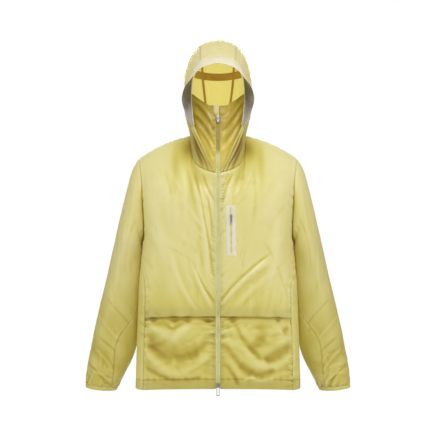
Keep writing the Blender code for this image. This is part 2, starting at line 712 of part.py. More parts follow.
def back_grid(base):
    """The whole back, wrapped forward to the side seams."""
    shares = back_columns()
    shares = np.concatenate([shares[:0:-1], shares])

    def fade(r, c):
        """Folds die out at every sewn edge."""
        return ease(r / 4.0) * seam_fade(shares[c])

    return with_folds(base, BODY_MIDDLE, BACK_FOLDS, 1, fade)[0]


# ---------------------------------------------------------------- sleeves
def sleeve_middle(k):
    """Middle of a sleeve ring."""
    ox, oz, ix, iz, mid_y, _ = smooth_table(SLEEVE, k)
    return np.array(((ox + ix) / 2, mid_y, (oz + iz) / 2))


def oval_point(row, share):
    """Point at a share of the ring (-1..1, front is +) on one ring's oval."""
    ox, oz, ix, iz, mid_y, depth = row
    turn = math.pi * share
    return np.array(((ox + ix) / 2 + (ox - ix) / 2 * math.cos(turn),
                     mid_y - depth * math.sin(turn),
                     (oz + iz) / 2 + (oz - iz) / 2 * math.cos(turn)))


def sleeve_point(k, share):
    """Point on a sleeve: k down its length, share round it."""
    point = oval_point(smooth_table(SLEEVE, k), share)
    if k < CAP_END:
        slip = armhole(abs(share), share >= 0) - oval_point(SLEEVE[0][1:], share)
        point = point + slip * (1.0 - k / CAP_END) ** 2
    return point


def sleeve_fold(k, share):
    """Height of the sleeve's folds at one place."""
    height = 0.0
    for k0, s0, k1, s1, width, high in SLEEVE_FOLDS:
        run = math.hypot(k1 - k0, (s1 - s0) * RING_TO_LENGTH)
        uk, us = (k1 - k0) / run, (s1 - s0) * RING_TO_LENGTH / run
        t = ((k - k0) * uk + (share - s0) * RING_TO_LENGTH * us) / run
        off = -(k - k0) * us + (share - s0) * RING_TO_LENGTH * uk
        if -0.2 < t < 1.2:
            taper = ease((t + 0.2) / 0.4) * ease((1.2 - t) / 0.4)
            height += high * taper * math.exp(-(off / width) ** 2)
    near_body = ease((abs(share) - 0.62) / 0.25)
    return height * ease((k - 0.03) / 0.10) * ease((0.995 - k) / 0.03) * (1.0 - near_body)


def sleeve_grid(k_rows):
    """Whole sleeve as a closed grid: top sleeve's columns, then the under sleeve's."""
    grid = []
    for k in k_rows:
        front_seam, back_seam = smooth_table(SLEEVE_SEAMS, k)
        top = np.linspace(-back_seam, front_seam, TOP_CELLS + 1)
        under = np.linspace(front_seam, 2.0 - back_seam, UNDER_CELLS + 1)[1:-1]
        row = []
        for share in np.concatenate([top, under]):
            share = share - 2.0 if share > 1.0 else share
            point = sleeve_point(k, share)
            way = point - sleeve_middle(k)
            row.append(point + way / np.linalg.norm(way) * sleeve_fold(k, share))
        grid.append(row)
    return np.array(grid)


def sleeve_panels():
    """Top sleeve and under sleeve of the wearer's left."""
    k_rows = np.concatenate([np.linspace(0.0, CAP_END, 5), np.linspace(0.31, 1.0, 13)])
    grid = sleeve_grid(k_rows)
    middles = np.array([sleeve_middle(k) for k in k_rows])[:, None, :]
    normals = grid_normals(grid, middles, closed=True)
    top = np.arange(0, TOP_CELLS + 1)
    under = np.concatenate([np.arange(TOP_CELLS, grid.shape[1]), [0]])
    sewn = ("top", "start", "end")
    return (Panel("sleeve_top_left", grid[:, top], None, sewn, normals=normals[:, top]),
            Panel("sleeve_under_left", grid[:, under], None, sewn,
                  normals=normals[:, under], gap=UNDERARM_GAP))


def band(name, grid, colour, thick):
    """A closed elastic band; the grid goes once round without repeating a column."""
    middles = grid.mean(axis=1, keepdims=True)
    way = grid - middles
    inner = grid - way / np.linalg.norm(way, axis=2, keepdims=True) * thick
    rows, cols = grid.shape[:2]
    half, faces = rows * cols, []
    for c in range(cols):
        e = (c + 1) % cols
        for r in range(rows - 1):
            a, b = r * cols + c, r * cols + e
            faces += [(a, b, b + cols, a + cols),
                      (a + half, a + cols + half, b + cols + half, b + half)]
        low = (rows - 1) * cols
        faces += [(e, c, c + half, e + half), (low + c, low + e, low + e + half,
                                               low + c + half)]
    vertices = np.concatenate([grid.reshape(-1, 3), inner.reshape(-1, 3)])
    return cloth_object(name, vertices, faces, colour)


def cuff_grid():
    """Outer face of the elastic binding at the wearer's left wrist."""
    middle = sleeve_middle(1.0)
    way = middle - sleeve_middle(0.94)
    way /= np.linalg.norm(way)
    full, drawn = CUFF_DRAW
    grid = []
    for t in (0.0, 0.5, 1.0):
        row = []
        for share in np.linspace(-1.0, 1.0, CUFF_CELLS, endpoint=False):
            rim = sleeve_point(1.0, share) - middle
            row.append(middle + rim * (full + (drawn - full) * t)
                       + way * (LAID_LIFT + CUFF_LENGTH * t))
        grid.append(row)
    return np.array(grid)


# ---------------------------------------------------------------- hood
def hood_line_point(s):
    """Middle of the hood strip (y, z, half width) and its normal's y and z."""
    here, ahead, behind = spline(HOOD_LINE, [s, min(s + 0.01, 1.0), max(s - 0.01, 0.0)])
    way = (ahead - behind)[:2]
    way /= np.linalg.norm(way)
    return here, np.array((-way[1], way[0]))


def strip_section(s, across):
    """Point of the strip's own arched section, across -1..1 from seam to seam."""
    here, normal = hood_line_point(s)
    drop = STRIP_DROP * across * across * (1.0 - 0.5 * ease((s - 0.6) / 0.4))
    return np.array((here[2] * across, here[0] - normal[0] * drop,
                     here[1] - normal[1] * drop))


def hood_strip_point(s, across):
    """Point on the strip, its ends brought on to the brim seam and neck seam."""
    point = strip_section(s, across)
    for end, curve, pull in ((0.0, BRIM_SEAM, 1.0 - s / STRIP_END),
                             (1.0, NECK_BACK[::-1], 1.0 - (1.0 - s) / STRIP_END)):
        if pull > 0.0:
            own = strip_section(end, across)
            seam = spline(curve, [share_at_x(curve, abs(own[0]))])[0]
            point[1:] += (seam - own)[1:] * pull ** 2
    return point


def strip_shares():
    """Shares of the strip's length where the hood's sides meet it."""
    return np.linspace(0.0, STRIP_STOP, HOOD_ROWS + 1)


def hood_side_grid():
    """Side of the hood: a patch between strip, brim, front edge and neck seam."""
    strip = np.array([hood_strip_point(s, 1.0) for s in strip_shares()])
    rear_shares = back_columns()[2:7] / NECK_SHARE
    neck = np.concatenate([spline(NECK_SEAM, np.linspace(0.0, 1.0, NECK_STEPS + 1)),
                           spline(NECK_BACK[::-1], rear_shares)[-2::-1]])
    halves = [(neck[k] + neck[k + 1]) / 2 for k in LONG_NECK_CELLS]
    foot = np.insert(neck, [k + 1 for k in LONG_NECK_CELLS], halves, axis=0)
    seam = spline(BRIM_SEAM, brim_shares()[2:])
    front = np.concatenate([seam, spline(HOOD_FRONT, np.linspace(0.0, 1.0, 6))[1:]])
    rows = len(front)
    rear = np.linspace(strip[-1], neck[-1], rows)
    places = np.linspace(0.0, 1.0, len(foot))
    points = np.zeros((rows, len(foot), 3))
    for r in range(rows):
        v = r / (rows - 1)
        for c, u in enumerate(places):
            ruled = (1 - v) * strip[c] + v * foot[c] + (1 - u) * front[r] + u * rear[r]
            corners = ((1 - u) * ((1 - v) * strip[0] + v * foot[0])
                       + u * ((1 - v) * strip[-1] + v * foot[-1]))
            wave = math.sin(2 * math.pi * v)
            way = np.array((wave * (HOOD_SWELL[0] if wave > 0.0 else HOOD_DRAW),
                            HOOD_SWELL[1] * math.sin(math.pi * v), 0.0))
            points[r, c] = ruled - corners + way * math.sin(math.pi * u)
    return points


def brim_grid():
    """Brim: from its seam to the free edge, whole width."""
    inner = spline(BRIM_SEAM, brim_shares())
    outer = spline(BRIM_EDGE, brim_shares())
    rows = []
    for t in (0.0, 0.34, 0.68, 1.0):
        crown = 1.0 - np.abs(inner[:, :1]) / 0.1
        side = inner + (outer - inner) * t
        side = side + np.array((0.0, -0.2, 1.0)) * BRIM_BOW * math.sin(math.pi * t) * crown
        rows.append(np.concatenate([side[:0:-1] * np.array((-1, 1, 1)), side]))
    return np.array(rows)


def collar_grid():
    """Half of the inner collar, zip to the hood's side, softly pleated."""
    along, down = COLLAR_CELLS
    spots = np.linspace(0.0, 1.0, along + 1)
    foot, top = spline(COLLAR_FOOT, spots), spline(COLLAR_TOP, spots)
    rows = []
    for t in np.linspace(0.0, 1.0, down + 1):
        row = top + (foot - top) * t
        for c, spot in enumerate(spots):
            bend = COLLAR_PLEAT * math.sin(math.pi * t) * math.sin(9.0 * spot + 5.0 * t)
            row[c] += np.array((0.3, -1.0, 0.0)) * bend * ease((row[c][0] - 0.014) / 0.02)
        rows.append(row)
    return np.array(rows)


def hood_channel(tree):
    """Elastic channel across the inside of the hood's back."""
    starts, ways = [], []
    for edge in (0.5, 0.0, -0.5):
        row, way = [], []
        for t in np.linspace(-1.0, 1.0, 15):
            turn = math.radians(CHANNEL_TURN * t)
            z = CHANNEL_Z + CHANNEL_RISE * t * t + CHANNEL_HEIGHT * edge
            row.append((0.0, 0.02, z))
            way.append((math.sin(turn), math.cos(turn), 0.0))
        starts.append(row)
        ways.append(way)
    return laid_panel("hood_channel", tree, np.array(starts), np.array(ways), CHANNEL_RGB,
                      LAID_LIFT, TRIM_THICK)


# ---------------------------------------------------------------- zips
def zip_face(z):
    """Outer face of the cloth at centre front, body below and collar above."""
    if z < -0.110:
        return ring(0.0, z)[1]
    if z > COLLAR_FOOT[0][2]:
        share = (z - COLLAR_FOOT[0][2]) / (COLLAR_TOP[0][2] - COLLAR_FOOT[0][2])
        return COLLAR_FOOT[0][1] + (COLLAR_TOP[0][1] - COLLAR_FOOT[0][1]) * share
    return float(np.interp(z, (-0.110, -0.1045, COLLAR_FOOT[0][2]),
                           (-0.1250, -0.1215, COLLAR_FOOT[0][1])))


def zip_strip(name, strip, heights, side=1):
    """A strip up centre front, its face a depth behind the cloth's outer face."""
    x0, x1, depth, thick = strip
    x0, x1 = sorted((x0 * side, x1 * side))
    rows = []
    for z in heights:
        under = 0.0030 * ease((z + 0.562) / 0.030) * ease((-0.440 - z) / 0.030)
        y = zip_face(z) + depth + under
        rows.append([(x0, y, z), (x1, y, z)])
    normals = grid_normals(np.array(rows), (0, 0.05, -0.3))
    return Panel(name, rows, None, colour=ZIP_RGB, normals=normals).build(thick=thick)


def cell_block(name, xs, ys, zs, filled, place, lean, bevel):
    """A small hard piece from the filled cells of a grid of planes, edges eased."""
    spans = [range(len(planes) - 1) for planes in (xs, ys, zs)]
    cells = {(i, j, k) for i in spans[0] for j in spans[1] for k in spans[2]
             if filled(i, j, k)}
    sides = ((1, 0, 0), (-1, 0, 0), (0, 1, 0), (0, -1, 0), (0, 0, 1), (0, 0, -1))
    bm = bmesh.new()
    corners = {}
    for cell in sorted(cells):
        for step in sides:
            if tuple(a + b for a, b in zip(cell, step)) in cells:
                continue
            axis = next(i for i in range(3) if step[i])
            first, second = (axis + 1) % 3, (axis + 2) % 3
            loop = []
            for a, b in ((0, 0), (1, 0), (1, 1), (0, 1))[::step[axis]]:
                at = list(cell)
                at[axis] += 1 if step[axis] > 0 else 0
                at[first] += a
                at[second] += b
                at = tuple(at)
                if at not in corners:
                    corners[at] = bm.verts.new((xs[at[0]], ys[at[1]], zs[at[2]]))
                loop.append(corners[at])
            bm.faces.new(loop)
    bmesh.ops.dissolve_limit(bm, angle_limit=0.01, verts=bm.verts[:], edges=bm.edges[:])
    sharp = [e for e in bm.edges if e.calc_face_angle(0.0) > 1.0 and e.is_convex]
    bmesh.ops.bevel(bm, geom=sharp, offset=bevel, segments=1, affect="EDGES",
                    clamp_overlap=True)
    turn = math.radians(lean)
    for v in bm.verts:
        x, y, z = v.co
        v.co = (x, y * math.cos(turn) - z * math.sin(turn),
                y * math.sin(turn) + z * math.cos(turn))
    thing = finished_object(name, bm, plain_material(name, METAL_RGB, 0.8, 0.35))
    thing.location = place
    return thing


def slider_form(x, face_y, z, size, lean):
    """A slider's planes, its filled cells, its place and the pull's axis."""
    width, height, deep = size
    near, far = BRIDGE_FEET
    xs = (-width / 2, -BRIDGE_WIDTH / 2, BRIDGE_WIDTH / 2, width / 2)
    ys = (-deep / 2 - BRIDGE_GAP - BRIDGE_BAR, -deep / 2 - BRIDGE_GAP, -deep / 2, deep / 2)
    zs = (-height / 2, AXIS_UP - far, AXIS_UP - near, AXIS_UP + near, AXIS_UP + far,
          height / 2)

    def filled(i, j, k):
        """Whole body behind, two posts and the bridge bar in the middle column."""
        if j == 2:
            return True
        return i == 1 and (k in (1, 3) if j == 1 else k in (1, 2, 3))

    place = np.array((x, face_y - deep / 2, z))
    turn = math.radians(lean)
    local = (-deep / 2 - BRIDGE_GAP / 2, AXIS_UP)
    axis = place + np.array((0.0, local[0] * math.cos(turn) - local[1] * math.sin(turn),
                             local[0] * math.sin(turn) + local[1] * math.cos(turn)))
    return (xs, ys, zs, filled), place, axis


def pull_form(size):
    """Planes and filled cells of a flat pull tab with an eye, its bar at the origin."""
    width, length, eye, window = size
    xs = (-width / 2, -eye / 2, eye / 2, width / 2)
    ys = (-PULL_THICK / 2, PULL_THICK / 2)
    zs = (-length, -PULL_BAR / 2 - window, -PULL_BAR / 2, PULL_BAR / 2)

    def filled(i, j, k):
        """Everywhere but the eye."""
        return i != 1 or k != 1

    return xs, ys, zs, filled


def zip_runner(label, x, face_y, z, sizes, lean):
    """A slider and the pull that swings on it."""
    form, place, axis = slider_form(x, face_y, z, sizes[1], lean)
    cell_block("slider_" + label, *form, place, lean, SLIDER_EASE)
    cell_block("pull_" + label, *pull_form(sizes[2]), axis, lean, PULL_EASE)


# ---------------------------------------------------------------- assembly
def pocket_starts(width, height, columns, rows):
    """Start points in front of the chest pocket, leaning as it does."""
    x, z, lean = POCKET
    grid = []
    for b in np.linspace(0.5, -0.5, rows):
        grid.append([(x + a * width + b * height * lean, -0.30, z + b * height)
                     for a in np.linspace(-0.5, 0.5, columns)])
    return np.array(grid)


def cloth_panels():
    """Every large cut piece, sewn edges sharing their points."""
    upper, lower, rear = body_bases()
    panels = []
    for side, label in ((1, "left"), (-1, "right")):
        front, under = front_grid(upper, side), lower_front_grid(lower, side)
        seam = "end"
        if side < 0:
            front, under, seam = mirrored(front), mirrored(under), "start"
        panels.append(Panel("front_" + label, front, BODY_MIDDLE, ("top", seam)))
        panels.append(Panel("lower_front_" + label, under, BODY_MIDDLE, (seam,)))
    panels.append(Panel("back", back_grid(rear), BODY_MIDDLE, ("top", "start", "end")))
    for panel in sleeve_panels():
        panels.append(panel)
        normals = (panel.normals * np.array((-1, 1, 1)))[:, ::-1]
        panels.append(Panel(panel.name.replace("left", "right"), mirrored(panel.points),
                            None, panel.sewn, normals=normals, gap=panel.gap))
    strip = [[hood_strip_point(s, a) for a in np.linspace(-1, 1, 5)]
             for s in np.append(strip_shares(), 1.0)]
    all_round = ("top", "bottom", "start", "end")
    panels.append(Panel("hood_centre", strip, HEAD_MIDDLE, all_round))
    side = hood_side_grid()
    panels.append(Panel("hood_side_left", side, HEAD_MIDDLE, all_round, gap=NECK_GAP))
    panels.append(Panel("hood_side_right", mirrored(side), HEAD_MIDDLE, all_round,
                        gap=NECK_GAP))
    panels.append(Panel("brim", brim_grid(), HEAD_MIDDLE, ("top",), BRIM_RGB))
    return panels


def build():
    """Make every piece of the jacket."""
    for thing in list(bpy.data.objects):
        bpy.data.objects.remove(thing, do_unlink=True)
    panels = cloth_panels()
    marry_edges(panels)
    made = {panel.name: panel.build() for panel in panels}
    facing = Panel("brim_facing", brim_grid()[:, 1:-1], HEAD_MIDDLE, colour=FACING_RGB)
    facing.points[0] += (facing.points[1] - facing.points[0]) * FACING_END
    facing.points[-1] += (facing.points[-2] - facing.points[-1]) * FACING_END
    facing.build(sink=CLOTH + LAID_LIFT, thick=FACING_THICK)
    collar = collar_grid()
    Panel("collar_left", collar, CHEST_MIDDLE).build()
    Panel("collar_right", mirrored(collar), CHEST_MIDDLE).build()
    cuff = cuff_grid()
    band("cuff_left", cuff, NYLON_RGB, ELASTIC_THICK)
    band("cuff_right", mirrored(cuff), NYLON_RGB, ELASTIC_THICK)
    hood_channel(surface_tree(made["hood_centre"], made["hood_side_left"],
                              made["hood_side_right"]))

    heights = np.concatenate([np.linspace(-0.688, -0.112, 30), ZIP_TURN,
                              [COLLAR_FOOT[0][2]], np.linspace(-0.080, 0.040, 7)])
    for side, label in ((1, "left"), (-1, "right")):
        zip_strip("zip_tape_" + label, TAPE_STRIP, np.append(heights, TAPE_TOP), side)
    zip_strip("zip_chain", CHAIN_STRIP, heights)
    zip_strip("zip_garage", GARAGE_STRIP, GARAGE_HEIGHTS)

    lean = -math.degrees(math.atan((COLLAR_TOP[0][1] - COLLAR_FOOT[0][1])
                                   / (COLLAR_TOP[0][2] - COLLAR_FOOT[0][2])))
    zip_runner("top", 0.0, zip_face(TOP_ZIP[0]) - LAID_LIFT, TOP_ZIP[0], TOP_ZIP, lean)
    zip_runner("hem", 0.0, zip_face(HEM_ZIP[0]) - LAID_LIFT, HEM_ZIP[0], HEM_ZIP, 0.0)

    front_tree = surface_tree(made["front_left"])
    forward = np.tile(np.array((0.0, 1.0, 0.0)), (11, 5, 1))
    patch = laid_panel("pocket_patch", front_tree,
                       pocket_starts(POCKET_WIDTH, POCKET_HEIGHT, 5, 11), forward,
                       PATCH_RGB, LAID_LIFT, TRIM_THICK)
    zip_line = laid_panel("pocket_zip", surface_tree(patch),
                          pocket_starts(*POCKET_ZIP, 2, 11), forward, ZIP_RGB,
                          LAID_LIFT, TRIM_THICK)
    place, _ = cast(surface_tree(zip_line), (POCKET[0] + 0.0006, -0.30, CHEST_ZIP[0]),
                    (0, 1, 0))
    zip_runner("pocket", place[0], place[1] - 0.0005, CHEST_ZIP[0], CHEST_ZIP, 0.0)


if __name__ == "__main__":
    build()
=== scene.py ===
"""Hooded windbreaker jacket: cloth, sewing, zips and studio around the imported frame.

Metres, +Z up, front faces -Y, the wearer's left is +X. Each cloth piece is a fine
thin sheet on the same form as its solid, with creases, puckers and turned edges.
The rows of a table(...) are written in thousandths: millimetres, where it's a length.
"""
from __future__ import annotations

import logging
import math
from dataclasses import dataclass, field
from enum import Enum
from functools import lru_cache
from typing import Iterable, Sequence

import bmesh
import bpy
import numpy as np
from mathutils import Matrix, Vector
from mathutils.bvhtree import BVHTree


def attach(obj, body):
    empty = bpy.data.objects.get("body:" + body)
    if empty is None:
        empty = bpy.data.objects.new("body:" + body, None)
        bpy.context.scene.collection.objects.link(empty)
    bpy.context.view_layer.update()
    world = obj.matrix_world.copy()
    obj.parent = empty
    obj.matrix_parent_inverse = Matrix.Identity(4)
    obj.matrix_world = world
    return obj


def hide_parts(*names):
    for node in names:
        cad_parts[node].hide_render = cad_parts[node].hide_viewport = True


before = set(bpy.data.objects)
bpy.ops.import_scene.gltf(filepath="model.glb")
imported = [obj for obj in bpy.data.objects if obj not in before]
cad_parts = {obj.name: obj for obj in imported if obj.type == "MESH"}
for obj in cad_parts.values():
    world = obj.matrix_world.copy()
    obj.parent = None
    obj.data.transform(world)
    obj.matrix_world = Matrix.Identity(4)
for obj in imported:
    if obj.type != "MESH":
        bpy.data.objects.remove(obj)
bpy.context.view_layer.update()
LOG = logging.getLogger("jacket")
JACKET = "jacket"
# attribute of painted highlight and shade from each sheet's folds, with its painted shade
RELIEF_AND_PAINTED_SHADE = "relief"
STITCH_AWAY = 0.0022
HEM_LINE = 0.027
HEM_STITCH_AWAY = HEM_LINE - 0.0005
BODY_MIDDLE = (0.0, 0.0, -0.25)
Array = np.ndarray
Thing = bpy.types.Object
Material = bpy.types.Material
Row = Sequence[float]
Table = tuple[tuple[float, ...], ...]
Colour = tuple[float, float, float]


def table(*rows: Row) -> Table:
    """Rows that are written in thousandths, which are millimetres for a length."""
    return tuple(tuple(number / 1000 for number in row) for row in rows)


# ---------------- named options
class Side(Enum):
    """Which half of the jacket a piece belongs to, from the wearer."""

    LEFT = 1
    RIGHT = -1

    @property
    def label(self) -> str:
        """Ending of the piece's name."""
        return self.name.lower()


class Edge(Enum):
    """The four edges of a cut piece's grid: is it a column, and is it the last one."""

    TOP = (False, False)
    BOTTOM = (False, True)
    START = (True, False)
    END = (True, True)


class Lip(Enum):
    """How an edge is turned: steps of (along the cloth, inward) past the edge."""

    RAW = ()
    SEAM = table((0, 1), (0.4, 2.8))
    HEM = table((-0.5, 0.4), (-0.5, 1), (0.8, 1.4), (24, 1.8))
    NARROW_HEM = table((-0.4, 0.4), (-0.4, 0.9), (0.6, 1.2), (10, 1.4))
    FACED = table((-0.1, 0.3), (0.2, 0.6))
    ROLLED = table((-0.4, 0.5), (-0.3, 1.1), (0.6, 1.4), (3, 1.6))


class Held(Enum):
    """How a sheet of cloth is held, in the frame's words."""

    DRAPED = "draped"
    GATHERED = "gathered"
    STRETCHED = "stretched"


# ---------------- small sums
def ease(value: Array | float) -> Array | float:
    """Run from 0 to 1 without a corner at either end."""
    held = np.clip(value, 0.0, 1.0)
    return held * held * (3.0 - 2.0 * held)


def unit(vectors: Array) -> Array:
    """The same directions at length 1."""
    return vectors / np.maximum(np.linalg.norm(vectors, axis=-1, keepdims=True), 1e-12)


def mirrored(points: Array) -> Array:
    """The same grid on the other side of the body."""
    return (points * np.array((-1.0, 1.0, 1.0)))[:, ::-1]


def run_of(line: Array) -> Array:
    """Length run at each point of a line."""
    return np.concatenate([[0.0], np.cumsum(np.linalg.norm(np.diff(line, axis=0), axis=1))])


def read(rows: Array, run: Array, spots: Array | float) -> Array:
    """Rows of three read at some places of their run."""
    return np.stack([np.interp(spots, run, rows[:, i]) for i in range(3)], axis=-1)


def cubic(b: Array | float, c: Array | float, a: Array | float, d: Array | float,
          t: Array | float) -> Array | float:
    """Run from b to c by t, smoothly after a and before d."""
    return 0.5 * (2 * b + (c - a) * t + (2 * a - 5 * b + 4 * c - d) * t ** 2
                  + (3 * b - a - 3 * c + d) * t ** 3)


@lru_cache(maxsize=None)
def fine_line(points: Table) -> tuple[Array, Array]:
    """Follow a table's rows with a smooth curve.

    Args:
        points: the rows that the curve runs through.

    Returns:
        Close points on the curve, and the share of its length at each.
    """
    rows = np.array(points)
    ends = np.vstack([2 * rows[0] - rows[1], rows, 2 * rows[-1] - rows[-2]])
    steps = np.linspace(0.0, 1.0, 25)[:, None]
    fine = [cubic(b, c, a, d, steps)[1:]
            for a, b, c, d in zip(ends, ends[1:], ends[2:], ends[3:])]
    line = np.concatenate([rows[:1]] + fine)
    run = run_of(line)
    return line, run / run[-1]


def spline(points: Table, spots: Row | Array) -> Array:
    """Points of a table's smooth curve at shares of its length."""
    line, run = fine_line(points)
    return read(line, run, np.atleast_1d(spots))


def share_at_x(points: Table, x: float) -> float:
    """Find where a curve has a given x.

    Args:
        points: the rows that the curve runs through, x running one way.
        x: the wanted x.

    Returns:
        The share of the curve's length there.
    """
    line, run = fine_line(points)
    stop = int(np.argmax(np.diff(line[:, 0]) * (1 if line[0, 0] < x else -1) < 0))
    stop = stop if stop else len(line) - 1
    xs, shares = line[:stop + 1, 0], run[:stop + 1]
    way = -1 if xs[0] > xs[-1] else 1
    return float(np.interp(way * x, way * xs, shares))


def smooth_table(rows: Table, value: float) -> list[float]:
    """Read a table smoothly at a value of its first column.

    Args:
        rows: rows whose first column rises or falls.
        value: where to read it.

    Returns:
        The other columns there.
    """
    rows = sorted(rows)
    keys = [row[0] for row in rows]
    value = min(max(value, keys[0]), keys[-1])
    k = min(max(int(np.searchsorted(keys, value)) - 1, 0), len(rows) - 2)
    t = (value - keys[k]) / (keys[k + 1] - keys[k])
    out = []
    for i in range(1, len(rows[0])):
        b, c = rows[k][i], rows[k + 1][i]
        a = rows[k - 1][i] if k > 0 else 2 * b - c
        d = rows[k + 2][i] if k + 2 < len(rows) else 2 * c - b
        out.append(cubic(b, c, a, d, t))
    return out


def through(values: Array, knots: Array, wanted: Array) -> Array:
    """Run a natural cubic curve through rows of values.

    Args:
        values: rows of anything, one for each knot.
        knots: rising places of the rows.
        wanted: places to read.

    Returns:
        One row for each wanted place.
    """
    count = len(knots)
    flat = values.reshape(count, -1)
    gaps = np.diff(knots)
    system = np.eye(count)
    right = np.zeros_like(flat)
    slopes = np.diff(flat, axis=0) / gaps[:, None]
    for i in range(1, count - 1):
        system[i, i - 1:i + 2] = (gaps[i - 1], 2 * (gaps[i - 1] + gaps[i]), gaps[i])
        right[i] = 6 * (slopes[i] - slopes[i - 1])
    bend = np.linalg.solve(system, right)
    k = np.clip(np.searchsorted(knots, wanted, side="right") - 1, 0, count - 2)
    gap, low = gaps[k][:, None], (wanted - knots[k])[:, None]
    high = gap - low
    out = ((bend[k] * high ** 3 + bend[k + 1] * low ** 3) / (6 * gap)
           + (flat[k] / gap - bend[k] * gap / 6) * high
           + (flat[k + 1] / gap - bend[k + 1] * gap / 6) * low)
    return out.reshape((len(wanted),) + values.shape[1:])


# ---------------- creases
@dataclass(frozen=True)
class Scatter:
    """Small creases strewn over a panel, most of them near one direction."""

    seed: int
    count: int
    x_range: tuple[float, float]
    z_range: tuple[float, float]
    lean: float
    spread: float
    length: tuple[float, float] = (0.03, 0.09)
    width: tuple[float, float] = (0.003, 0.007)
    height: float = 0.0010

    def rows(self) -> Table:
        """Draw the creases, the same ones each run.

        Returns:
            One row for each, as crease_heights takes them.
        """
        draw = np.random.default_rng(self.seed)
        out = []
        for _ in range(self.count):
            x, z = draw.uniform(*self.x_range), draw.uniform(*self.z_range)
            turn = math.radians(self.lean + draw.normal(0.0, self.spread))
            reach = draw.uniform(*self.length) / 2
            dx, dz = math.cos(turn) * reach, math.sin(turn) * reach
            out.append((x - dx, z - dz, x + dx, z + dz, draw.normal(0.0, 0.12) * reach,
                        draw.uniform(*self.width),
                        self.height * draw.choice((-1.0, 1.0)) * draw.uniform(0.4, 1.0)))
        return tuple(out)


def crease_heights(rows: Iterable[Row], x: Array, z: Array) -> Array:
    """Add up soft ridges (height over 0) and troughs over a panel.

    Args:
        rows: x and z of both ends, sag, half width and height of each.
        x: first coordinate of each place.
        z: second coordinate of each place.

    Returns:
        The height at each place.
    """
    total = np.zeros_like(x)
    for x0, z0, x1, z1, sag, width, height in rows:
        run = math.hypot(x1 - x0, z1 - z0)
        ux, uz = (x1 - x0) / run, (z1 - z0) / run
        t = ((x - x0) * ux + (z - z0) * uz) / run
        held = np.clip(t, 0.0, 1.0)
        bow = sag * 4.0 * held * (1.0 - held) * (1.0 if ux >= 0 else -1.0)
        off = -(x - x0) * uz + (z - z0) * ux - bow
        taper = ease((t + 0.15) / 0.30) * ease((1.15 - t) / 0.30)
        total += height * taper * np.exp(-(off / width) ** 2)
    return total


# ---------------- finishes
class Rig:
    """A node tree being wired."""

    def __init__(self, name: str) -> None:
        """Start an empty tree with an output.

        Args:
            name: the finish's name.
        """
        self.material = bpy.data.materials.new(name)
        self.material.use_nodes = True
        self.tree = self.material.node_tree
        self.tree.nodes.clear()
        self.output = self.tree.nodes.new("ShaderNodeOutputMaterial")
        self.place = self.tree.nodes.new("ShaderNodeTexCoord").outputs["Object"]

    def feed(self, socket: bpy.types.NodeSocket, value: object) -> None:
        """Set an input to a value, or join it to a socket.

        Args:
            socket: the input.
            value: the value or the socket.
        """
        if isinstance(value, bpy.types.NodeSocket):
            self.tree.links.new(value, socket)
        else:
            socket.default_value = value

    def add(self, kind: str, settings: dict | None = None,
            **sockets: object) -> bpy.types.Node:
        """Add a node.

        Args:
            kind: Blender's name of the node type.
            settings: properties of the node itself.
            sockets: values or sockets for its inputs, spaces written as underscores.

        Returns:
            The node.
        """
        node = self.tree.nodes.new(kind)
        for key, value in (settings or {}).items():
            setattr(node, key, value)
        for key, value in sockets.items():
            self.feed(node.inputs[key.replace("_", " ")], value)
        return node

    def sum(self, operation: str, *values: object) -> object:
        """Do a sum on sockets and numbers.

        Args:
            operation: Blender's name of the sum.
            values: what goes into it.

        Returns:
            The result's socket.
        """
        node = self.add("ShaderNodeMath", {"operation": operation})
        for socket, value in zip(node.inputs, values):
            self.feed(socket, value)
        return node.outputs[0]

    def height(self) -> object:
        """Height on the object."""
        return self.add("ShaderNodeSeparateXYZ", Vector=self.place).outputs["Z"]

    def noise(self, scale: float, detail: float = 3.0, stretch: Row = (1, 1, 1)) -> object:
        """Noise over the object, in waves to a metre, its finer layers and its stretch."""
        placed = self.add("ShaderNodeMapping", Vector=self.place, Scale=tuple(stretch))
        return self.add("ShaderNodeTexNoise", Vector=placed.outputs[0], Scale=scale,
                        Detail=detail).outputs["Fac"]

    def weave(self, pitch: float) -> object:
        """Height of crossing threads, a pitch apart."""
        x, y, z = (self.add("ShaderNodeTexWave", {"bands_direction": axis},
                            Vector=self.place, Scale=0.314 / pitch,
                            Distortion=0.4).outputs["Fac"] for axis in "XYZ")
        return self.sum("MULTIPLY", self.sum("MAXIMUM", x, y), z)

    def bump(self, height: object, distance: float, strength: float = 1.0,
             under: object | None = None) -> object:
        """Raise a bump.

        Args:
            height: the height socket.
            distance: the relief in metres.
            strength: how much of it shows.
            under: the normal of a bump beneath.

        Returns:
            The normal socket.
        """
        node = self.add("ShaderNodeBump", Height=height, Distance=distance,
                        Strength=strength)
        if under is not None:
            self.feed(node.inputs["Normal"], under)
        return node.outputs[0]

    def tones(self, amount: object, stops: Table) -> object:
        """A colour that runs through several tones.

        Args:
            amount: socket from 0 to 1.
            stops: place and colour of each tone.

        Returns:
            The colour socket.
        """
        ramp = self.add("ShaderNodeValToRGB", Fac=amount)
        elements = ramp.color_ramp.elements
        while len(elements) < len(stops):
            elements.new(0.5)
        for stop, (place, *colour) in zip(elements, stops):
            stop.position = place
            stop.color = (*colour, 1.0)
        return ramp.outputs[0]

    def finish(self, shader: bpy.types.Node) -> Material:
        """Join a shader to the output and hand over the material."""
        self.tree.links.new(shader.outputs[0], self.output.inputs["Surface"])
        return self.material


